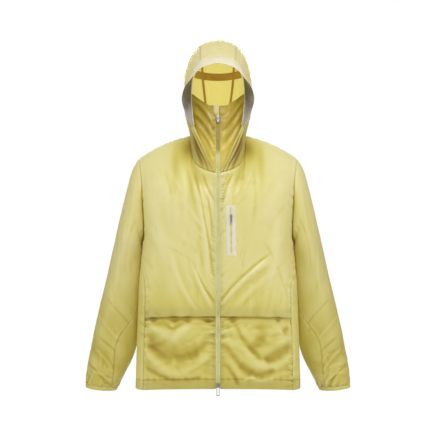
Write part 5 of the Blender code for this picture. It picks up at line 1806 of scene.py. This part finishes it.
# ---------------- hood and collar
@dataclass
class Hood:
    """Three-piece hood, its brim and facing, and what shows inside it."""

    form: JacketForm
    cloths: Cloths
    middle: tuple[float, float, float] = (0.0, 0.0, 0.12)
    cloth: float = 0.0012
    channel_z: float = 0.183
    channel_height: float = 0.020
    channel_rise: float = 0.006
    channel_turn: float = 47.0
    channel_steps: int = 90
    channel_cut: float = 0.024
    tape_width: float = 0.0068
    tape_lift: float = 0.0032
    tape_ends: tuple[float, float] = (0.02, 0.97)
    facing_gap: float = 0.0004
    brim_spacing: float = 0.0028
    brim_stitch: float = 0.0030
    # distance from the front edge, width and height of each fold beside it
    hood_folds: Table = table(
        (3, 3.5, 1.4), (9.5, 3, -2.8), (16.5, 3.8, 3.4), (24.5, 3.8, -3.6), (33.5, 5, 2.8),
        (45, 6.5, -3))
    # place across the channel, edge to edge, and its height off the hood
    channel_profile: Table = table(
        (520, 1.2), (500, 3), (440, 2.2), (250, 3.1), (0, 3.4), (-250, 3.1), (-440, 2.2),
        (-500, 3), (-520, 1.2))

    def strip(self, sewing: Sewing) -> Thing:
        """Make the centre strip.

        Args:
            sewing: takes its stitches.

        Returns:
            The cloth.
        """
        panel = ClothPanel("hood_centre_cloth", self.form.hood_centre(), self.middle)
        off, along = panel.from_edge(Edge.TOP)
        _, across = panel.from_edge(Edge.START)
        fine = Scatter(201, 26, (0.02, 0.42), (-0.045, 0.045), 65.0, 35.0, (0.02, 0.06),
                       (0.004, 0.008), 0.0009).rows()
        panel.crease(fine, ease(off / 0.02) * ease(panel.from_edge(Edge.BOTTOM)[0] / 0.02),
                     across, along - 0.045)
        for edge, seed in ((Edge.START, 202), (Edge.END, 203), (Edge.TOP, 204)):
            panel.pucker(edge, 0.0006, 0.007, 0.013, seed)
            panel.seam_roll(edge, 0.0005, 0.0002)
        panel.seam_roll(Edge.BOTTOM)
        # a little painted shade over the whole strip
        panel.shade -= 0.15
        sewing.along(panel, Edge.START, Edge.END)
        return panel.sew("hood_centre", self.cloths.hood, "nylon", Held.DRAPED, {},
                         "back_cloth")

    def side(self, side: Side, sewing: Sewing) -> Thing:
        """Make one side of the hood.

        Args:
            side: which side.
            sewing: takes its stitches.

        Returns:
            The cloth.
        """
        # rows run down the front edge, columns from it to the rear
        coarse, fore, rear = self.form.hood_side(), Edge.START, Edge.END
        if side is Side.RIGHT:
            coarse, fore, rear = mirrored(coarse), rear, fore
        panel = ClothPanel(f"hood_side_{side.label}_cloth", coarse, self.middle)
        y, z = panel.base[:, :, 1], panel.base[:, :, 2]
        off, _ = panel.from_edge(fore)
        below = ease((0.030 - z) / 0.05)
        seed, draw = (221, 0.9) if side is Side.LEFT else (222, 0.6)
        for away, width, height in self.hood_folds:
            spot = away * (1.0 + 0.18 * np.sin(z / 0.021 + 3.0 * draw))
            panel.heights += (height * draw * below * np.exp(-((off - spot) / width) ** 2)
                              * (0.75 + 0.25 * np.sin(z / 0.013 + away * 300)))
        # painted shadow in the recess beside the neck, and painted shade over the side,
        # deeper lower down
        panel.shade -= (1.9 * np.exp(-((z + 0.036) / 0.044) ** 2)
                        * np.exp(-((off - 0.031) / 0.019) ** 2)
                        + 0.2 + 0.6 * ease((0.06 - z) / 0.08))
        fine = Scatter(seed, 34, (-0.08, 0.10), (-0.06, 0.26), 68.0, 30.0, (0.02, 0.07),
                       (0.004, 0.008), 0.0009).rows()
        panel.crease(fine, ease(off / 0.01), y, z)
        for edge, deep in ((Edge.TOP, 0.0005), (Edge.BOTTOM, 0.0011)):
            panel.pucker(edge, deep, 0.008, 0.014, seed + 10)
            panel.seam_roll(edge, deep, 0.45 * deep)
        panel.seam_roll(rear, 0.0008, 0.0003)
        sewing.along(panel, Edge.BOTTOM)
        return panel.sew(f"hood_side_{side.label}", self.cloths.hood, "nylon", Held.DRAPED,
                         {}, "back_cloth", f"front_{side.label}_cloth")

    def brim(self, sewing: Sewing) -> None:
        """Make the brim and its grey facing.

        Args:
            sewing: takes the brim's stitches.
        """
        panel = ClothPanel("brim_cloth", self.form.brim(), self.middle, self.brim_spacing)
        off, _ = panel.from_edge(Edge.BOTTOM)
        fine = Scatter(241, 22, (-0.09, 0.09), (0.0, 0.045), 80.0, 30.0, (0.012, 0.03),
                       (0.003, 0.005), 0.0006).rows()
        fine += ((-0.062, 0.010, -0.046, 0.026, 0.0, 0.0022, -0.0016),)
        panel.crease(fine, ease(off / 0.006), panel.base[:, :, 0], off)
        panel.pucker(Edge.TOP, 0.0008, 0.006, 0.012, 242)
        panel.seam_roll(Edge.TOP)
        panel.heights -= 0.0003 * np.exp(-((off - self.brim_stitch) / 0.0014) ** 2)
        sewing.along(panel, Edge.BOTTOM, away=self.brim_stitch)
        panel.sew("brim", self.cloths.brim, "brim_cloth", Held.STRETCHED,
                  dict.fromkeys((Edge.START, Edge.END, Edge.BOTTOM), Lip.FACED),
                  "hood_centre_cloth")
        inner = ClothPanel("brim_facing_cloth", self.form.brim(), self.middle,
                           self.brim_spacing)
        off, along = inner.from_edge(Edge.BOTTOM)
        inner.heights -= (self.cloth + self.facing_gap) * ease(off / 0.004 + 0.45)
        inner.heights += 0.0006 * np.sin(along / 0.011) * np.sin(off / 0.013)
        inner.sew("brim_facing", self.cloths.facing, "facing", Held.STRETCHED,
                  dict.fromkeys(Edge, Lip.RAW), "brim_cloth")

    def tapes(self) -> None:
        """Lay the dark seam tapes down the hood's inside, over the strip's seams."""
        parts = []
        spots = np.linspace(*self.tape_ends, 130)
        for sign in (-1.0, 1.0):
            seam, centre = (np.array([self.form.strip_point(s, place) for s in spots])
                            for place in (sign, 0.0))
            normal = unit(seam - np.array(self.middle))
            across = unit(centre - seam) * self.tape_width
            band = np.array([seam + across * share
                             - normal * (self.tape_lift
                                         + 0.0004 * math.cos(math.pi * share))
                             for share in (-0.5, -0.25, 0.0, 0.25, 0.5)])
            parts.append((band.reshape(-1, 3), grid_faces(*band.shape[:2])))
        thing = join_parts("hood_seam_tapes", parts, self.cloths.channel)
        fit(thing, "channel")

    def channel(self, cloths: Sequence[Thing]) -> None:
        """Lay the elastic channel across the inside of the hood's back.

        Args:
            cloths: the hood's pieces that it lies on.
        """
        tree = surface_tree(cloths)
        rows = []
        for edge, lift in self.channel_profile:
            row = []
            for k, t in enumerate(np.linspace(-1.0, 1.0, self.channel_steps)):
                turn = math.radians(self.channel_turn * t)
                z = self.channel_z + self.channel_rise * t * t + self.channel_height * edge
                gather = 0.0003 * math.sin(k * 1.9) * (1.0 - abs(edge))
                hit, normal = cast(tree, (0.0, 0.02, z),
                                   (math.sin(turn), math.cos(turn), 0.0))
                row.append(hit + normal * (lift + gather))
            rows.append(row)
        band = np.array(rows)
        thing = grid_object("hood_channel_band", band, self.cloths.channel)
        fit(thing, "channel", "hood_channel")

    def build(self) -> None:
        """Make the whole hood."""
        sewing = Sewing("hood_stitches", self.cloths.thread)
        made = [self.strip(sewing)] + [self.side(side, sewing) for side in Side]
        self.brim(sewing)
        self.tapes()
        self.channel(made)
        sewing.finish()


@dataclass
class Collar:
    """The inner collar's two halves, with the folds that run down to the zip."""

    form: JacketForm
    cloths: Cloths
    top_stitch: float = 0.0080
    spacing: float = 0.0024
    # x and z of both ends, sag, half width, height; the viewer's left half is x under 0
    collar_folds: Table = table(
        (-66, 100, -12, 22, 6, 5, 2.6), (-66, 86, -8, 4, 6, 4.5, -2.6),
        (-66, 66, -8, -16, 6, 5, 3), (-64, 50, -10, -34, 6, 4.5, -2.6),
        (-58, 30, -10, -52, 5, 4.5, 2.6), (-50, 10, -10, -68, 4, 4.5, -2.2),
        (-30, 58, -13, 26, 1, 2.2, 2.2), (70, 104, 12, 30, -6, 5, 2.6),
        (68, 88, 10, 8, -6, 4.5, -2.8), (66, 70, 8, -12, -6, 5, 3),
        (64, 50, 10, -30, -6, 4.5, -2.6), (58, 30, 10, -50, -5, 4.5, 2.6),
        (34, 64, 15, 42, -1, 2.4, 2.4))

    def build(self) -> None:
        """Make both halves."""
        sewing = Sewing("collar_stitches", self.cloths.thread)
        for side in Side:
            coarse, middle = self.form.collar(), Edge.START
            if side is Side.RIGHT:
                coarse, middle = mirrored(coarse), Edge.END
            panel = ClothPanel(f"collar_{side.label}_cloth", coarse, (0.0, 0.02, 0.0),
                               self.spacing)
            x, z = panel.base[:, :, 0], panel.base[:, :, 2]
            near = ease(panel.from_edge(middle)[0] / 0.006)
            foot = ease(panel.from_edge(Edge.BOTTOM)[0] / 0.04)
            fine = Scatter(301 + side.value, 22, (-0.07, 0.07), (-0.08, 0.10),
                           50.0 * side.value, 14.0, (0.02, 0.05), (0.002, 0.004),
                           0.0008).rows()
            panel.crease(self.collar_folds + fine, 0.75 * near * foot, x, z)
            # painted light: the collar is painted paler lower down
            panel.shade += 1.8 * ease((0.030 - z) / 0.09)
            panel.pucker(middle, 0.0018, 0.008, 0.011, 310 + side.value)
            panel.pucker(Edge.TOP, 0.0008, 0.006, 0.014, 320 + side.value)
            sewing.along(panel, Edge.TOP, away=self.top_stitch)
            sewing.along(panel, middle)
            outer = Edge.END if side is Side.LEFT else Edge.START
            lips = {Edge.TOP: Lip.NARROW_HEM, middle: Lip.NARROW_HEM, outer: Lip.RAW,
                    Edge.BOTTOM: Lip.RAW}
            panel.sew(f"collar_{side.label}", self.cloths.collar, "nylon", Held.GATHERED,
                      lips, f"hood_side_{side.label}_cloth")
        sewing.finish()


# ---------------- laid pieces
def surface_tree(things: Sequence[Thing]) -> BVHTree:
    """Make a search tree of several pieces' faces.

    Args:
        things: the pieces.

    Returns:
        The tree.
    """
    points, faces = [], []
    for thing in things:
        base = len(points)
        points += [v.co.copy() for v in thing.data.vertices]
        faces += [[base + i for i in p.vertices] for p in thing.data.polygons]
    return BVHTree.FromPolygons(points, faces)


def cast(tree: BVHTree, start: Row, toward: Row) -> tuple[Array, Array]:
    """Find the first face hit from a start point.

    Args:
        tree: the faces.
        start: where the ray starts.
        toward: its direction.

    Returns:
        The place hit and the normal against the ray.
    """
    direction = Vector(toward).normalized()
    place, normal, _, _ = tree.ray_cast(Vector(start), direction)
    if place is None:
        place, normal, _, _ = tree.find_nearest(Vector(start) + direction * 0.1)
    if normal.dot(direction) > 0:
        normal = -normal
    return np.array(place), np.array(normal)


def softened(grid: Array, times: int) -> Array:
    """Average a grid with its neighbours.

    Args:
        grid: the grid.
        times: how many times over.

    Returns:
        The softer grid.
    """
    for _ in range(times):
        padded = np.pad(grid, ((1, 1), (1, 1), (0, 0)), mode="edge")
        grid = (2 * grid + padded[:-2, 1:-1] + padded[2:, 1:-1] + padded[1:-1, :-2]
                + padded[1:-1, 2:]) / 6
    return grid


@dataclass(frozen=True)
class Coil:
    """A run of moulded zip coil: two rows of loops that meet in the middle."""

    width: float
    pitch: float
    thick: float

    def loops(self, line: Array, normals: Array) -> list[tuple[Array, list]]:
        """Make the loops along a line.

        Args:
            line: points of the zip's middle.
            normals: directions in which the zip faces.

        Returns:
            Points and faces of each loop.
        """
        run = run_of(line)
        parts = []
        quads = grid_faces(5, 4, closed=True)
        turns = [turn * math.pi for turn in (0.25, 0.75, 1.25, 1.75)]
        for k, spot in enumerate(np.arange(self.pitch, run[-1] - self.pitch, self.pitch)):
            here, ahead = read(line, run, spot), read(line, run, spot + 0.001)
            face = unit(read(normals, run, spot))
            way = unit(ahead - here)
            across = unit(np.cross(way, face)) * (1.0 if k % 2 else -1.0)
            rings = []
            for t, rise in ((-0.12, 0.15), (0.1, 1.0), (0.5, 1.15), (0.85, 0.9), (1.0, 0.1)):
                centre = here + across * t * self.width / 2 + face * self.thick * rise
                rings += [centre + self.thick * (way * 1.25 * math.cos(a)
                                                 + face * math.sin(a)) for a in turns]
            parts.append((np.array(rings), quads))
        return parts


@dataclass
class FrontZip:
    """Tapes, coil, garage and the two sliders of the front zip."""

    form: JacketForm
    cloths: Cloths
    tape: tuple[float, float] = (0.0003, 0.0112)
    tape_shares: tuple[float, ...] = (0.0, 0.16, 0.33, 0.5, 0.66, 0.83, 1.0)
    depth: float = 0.0023
    coil: Coil = Coil(0.0058, 0.0019, 0.0005)
    coil_depth: float = 0.0012
    row_pitch: float = 0.004
    flap_z: tuple[float, float] = (-0.562, -0.440)
    flap_sink: float = 0.0030
    apart: float = 0.0022
    foot_z: float = -0.688
    closed_z: float = 0.040
    top_z: float = 0.078
    garage_z: tuple[float, float] = (0.056, 0.0815)
    garage_x: tuple[float, float] = (-0.0125, 0.0008)

    def _y(self, z: float) -> float:
        """Face of the cloth, sunk where the flap stands over the zip."""
        low, high = self.flap_z
        under = float(ease((z - low) / 0.030) * ease((high - z) / 0.030))
        return self.form.zip_face(z) + self.flap_sink * under

    def _heights(self, top: float) -> Array:
        """Heights of the zip's rows, closer where it steps into the collar."""
        return np.concatenate([np.arange(self.foot_z, -0.114, self.row_pitch),
                               np.linspace(-0.113, -0.090, 12),
                               np.arange(-0.086, top, self.row_pitch), [top]])

    def build(self) -> None:
        """Make the zip."""
        for side in Side:
            self._tape(side)
        self._coil()
        self._garage()
        for node in ("slider_top", "pull_top", "slider_hem", "pull_hem"):
            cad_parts[node].data.materials[0] = self.cloths.metal

    def _tape(self, side: Side) -> None:
        """Make one tape.

        Args:
            side: which tape.
        """
        near, far = self.tape
        rows = []
        for z in self._heights(self.top_z):
            y = self._y(z) + self.depth
            apart = self.apart * float(ease((z - self.closed_z) / 0.012))
            rib = 0.00012 * math.sin(z / 0.0011)
            rows.append([(side.value * (near + apart + (far - near) * t), y + rib * t, z)
                         for t in self.tape_shares])
        grid = np.array(rows)
        thing = grid_object(f"zip_tape_{side.label}_cloth", grid, self.cloths.tape)
        fit(thing, "zip_tape", "zip_tape_" + side.label)

    def _coil(self) -> None:
        """Make the coil, closed up to the top slider."""
        line = np.array([(0.0, self._y(z) + self.coil_depth, z)
                         for z in self._heights(self.closed_z)])
        normals = np.tile(np.array((0.0, -1.0, 0.0)), (len(line), 1))
        thing = join_parts("zip_coil", self.coil.loops(line, normals), self.cloths.coil)
        fit(thing, "zip_tape", "zip_chain")

    def _garage(self) -> None:
        """Make the little cloth garage that the slider parks under."""
        (low, high), (left, right) = self.garage_z, self.garage_x
        rows = []
        for v in np.linspace(0.0, 1.0, 12):
            z = low + (high - low) * v
            row = []
            for u in np.linspace(0.0, 1.0, 12):
                round_off = 0.0035 * (1.0 - float(ease(v / 0.3))) * abs(2 * u - 1.0) ** 3
                x = left + (right - left) * u
                lift = 0.0016 + 0.0008 * math.sin(math.pi * u) * math.sin(math.pi * v)
                row.append((x * (1.0 - 0.12 * (1 - v)), self.form.zip_face(z) - lift,
                            z + round_off))
            rows.append(row)
        panel = ClothPanel("zip_garage_cloth", np.array(rows), (0.0, 0.05, 0.06), 0.0012)
        panel.sew("zip_garage", self.cloths.garage, "brim_cloth", Held.STRETCHED,
                  {Edge.START: Lip.NARROW_HEM}, "collar_right_cloth")


@dataclass
class ChestPocket:
    """Bonded patch, zip and slider of the chest pocket on the wearer's left."""

    form: JacketForm
    cloths: Cloths
    place: tuple[float, float, float] = (0.0352, -0.2632, -0.020)
    size: tuple[float, float] = (0.0280, 0.1390)
    slot_size: tuple[float, float] = (0.0052, 0.1250)
    lift: float = 0.0009
    film: float = 0.0002
    slot_depth: float = 0.0009
    grid: tuple[int, int] = (19, 71)
    coil: Coil = Coil(0.0036, 0.0015, 0.00035)
    coil_stand: float = 0.0007

    def _laid(self, tree: BVHTree, across: Array, down: Array, soften: int
              ) -> tuple[Array, Array]:
        """Cast a leaning grid on to the front.

        Args:
            tree: the front's faces.
            across: places across the patch in metres.
            down: places down it.
            soften: rounds of smoothing.

        Returns:
            The points and their normals.
        """
        x0, z0, lean = self.place
        hits = np.array([[cast(tree, (x0 + a + b * lean, -0.30, z0 + b), (0, 1, 0))
                          for a in across] for b in down])
        return softened(hits[:, :, 0], soften), unit(softened(hits[:, :, 1], soften))

    def build(self, front: Thing) -> None:
        """Make the pocket on a front.

        Args:
            front: the cloth of the left front.
        """
        tree = surface_tree([front])
        width, height = self.size
        columns, rows = self.grid
        across = np.linspace(-0.5, 0.5, columns) * width
        down = np.linspace(0.5, -0.5, rows) * height
        points, normals = self._laid(tree, across, down, 2)
        a, b = np.meshgrid(across / width * 2, down / height * 2)
        edge = np.minimum(1.0 - np.abs(a), (1.0 - np.abs(b)) * height / width)
        slot = ((np.abs(a) * width / 2 < self.slot_size[0] / 2 - 0.0004)
                & (np.abs(b) * height / 2 < self.slot_size[1] / 2))
        rise = (self.lift * ease(edge / 0.10) + self.film - self.slot_depth * slot
                + 0.0003 * np.sin(b * 19.0) * (1.0 - np.abs(a)))
        thing = grid_object("pocket_patch_film", points + normals * rise[:, :, None],
                            self.cloths.patch)
        fit(thing, "bonded_patch", "pocket_patch")
        down = np.linspace(0.5, -0.5, rows) * self.slot_size[1]
        points, normals = self._laid(tree, np.zeros(1), down, 3)
        line, faces = points[:, 0], normals[:, 0]
        parts = self.coil.loops(line + faces * self.coil_stand, faces)
        fit(join_parts("pocket_coil", parts, self.cloths.coil), "zip_tape", "pocket_zip")
        for node in ("slider_pocket", "pull_pocket"):
            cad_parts[node].data.materials[0] = self.cloths.metal


# ---------------- studio
@dataclass
class Studio:
    """Floor, light and the camera of the reference picture."""

    distance: float = 3.2
    eye_z: float = -0.228
    lens: float = 93.7
    floor_z: float = -1.45
    floor_radius: float = 2.5

    def build(self) -> None:
        """Set everything up."""
        self._floor()
        self._world()
        self._light("key_light", (0.15, -2.3, 1.9), (0.0, 0.0, -0.15), 1.6, 73.0)
        self._light("left_light", (-2.6, -0.9, 0.0), (0.0, 0.0, -0.4), 1.2, 15.0)
        self._light("right_light", (2.4, -1.6, 0.0), (0.0, 0.0, -0.4), 1.6, 18.0)
        self._light("rear_light", (0.0, 2.4, 0.65), (0.0, 0.0, 0.0), 1.6, 62.0)
        data = bpy.data.cameras.new("camera")
        data.lens = self.lens
        data.sensor_width = 36.0
        camera = self._placed("camera", data, (0.0, -self.distance, self.eye_z))
        camera.rotation_euler = (math.radians(90.0), 0.0, 0.0)
        bpy.context.scene.camera = camera
        bpy.context.scene.view_settings.view_transform = "Standard"

    @staticmethod
    def _placed(name: str, data: bpy.types.ID, place: Row) -> Thing:
        """Put something of the studio into the scene.

        Args:
            name: its name.
            data: what it is.
            place: where it stands.

        Returns:
            The object.
        """
        thing = bpy.data.objects.new(name, data)
        thing.location = place
        bpy.context.scene.collection.objects.link(thing)
        return thing

    def _floor(self) -> None:
        """Lay a plain pale floor under the jacket."""
        mesh = bmesh.new()
        bmesh.ops.create_circle(mesh, cap_ends=True, radius=self.floor_radius, segments=96)
        data = bpy.data.meshes.new("floor")
        mesh.to_mesh(data)
        mesh.free()
        rig = Rig("pale_floor")
        colour = rig.tones(rig.noise(3.0), ((0.35, 0.80, 0.80, 0.79),
                                            (0.65, 0.84, 0.84, 0.83)))
        data.materials.append(rig.finish(rig.add("ShaderNodeBsdfPrincipled",
                                                 Base_Color=colour, Roughness=0.8)))
        self._placed("floor", data, (0.0, 0.0, self.floor_z))

    @staticmethod
    def _world() -> None:
        """White surroundings, softer as light than they look."""
        world = bpy.data.worlds.new("studio")
        world.use_nodes = True
        tree = world.node_tree
        tree.nodes.clear()
        out = tree.nodes.new("ShaderNodeOutputWorld")
        mix = tree.nodes.new("ShaderNodeMixShader")
        path = tree.nodes.new("ShaderNodeLightPath")
        for index, strength in ((1, 0.42), (2, 1.0)):
            back = tree.nodes.new("ShaderNodeBackground")
            back.inputs["Color"].default_value = (1.0, 1.0, 1.0, 1.0)
            back.inputs["Strength"].default_value = strength
            tree.links.new(back.outputs[0], mix.inputs[index])
        tree.links.new(path.outputs["Is Camera Ray"], mix.inputs[0])
        tree.links.new(mix.outputs[0], out.inputs["Surface"])
        bpy.context.scene.world = world

    def _light(self, name: str, place: Row, target: Row, size: float, power: float) -> None:
        """Hang a soft square light.

        Args:
            name: the light's name.
            place: where it hangs.
            target: what it points at.
            size: its side.
            power: its watts.
        """
        data = bpy.data.lights.new(name, "AREA")
        data.size = size
        data.energy = power
        way = Vector(target) - Vector(place)
        lamp = self._placed(name, data, place)
        lamp.rotation_euler = way.to_track_quat("-Z", "Y").to_euler()


def main() -> None:
    """Build the jacket piece by piece."""
    logging.basicConfig(level=logging.INFO, format="%(message)s")
    Studio().build()
    form, cloths = JacketForm(), Cloths()
    fronts = Body(form, cloths).build()
    LOG.info("body done")
    Sleeves(form, cloths).build()
    LOG.info("sleeves done")
    Hood(form, cloths).build()
    LOG.info("hood done")
    Collar(form, cloths).build()
    FrontZip(form, cloths).build()
    ChestPocket(form, cloths).build(fronts[Side.LEFT])
    LOG.info("collar, zip and pocket done")


if __name__ == "__main__":
    main()
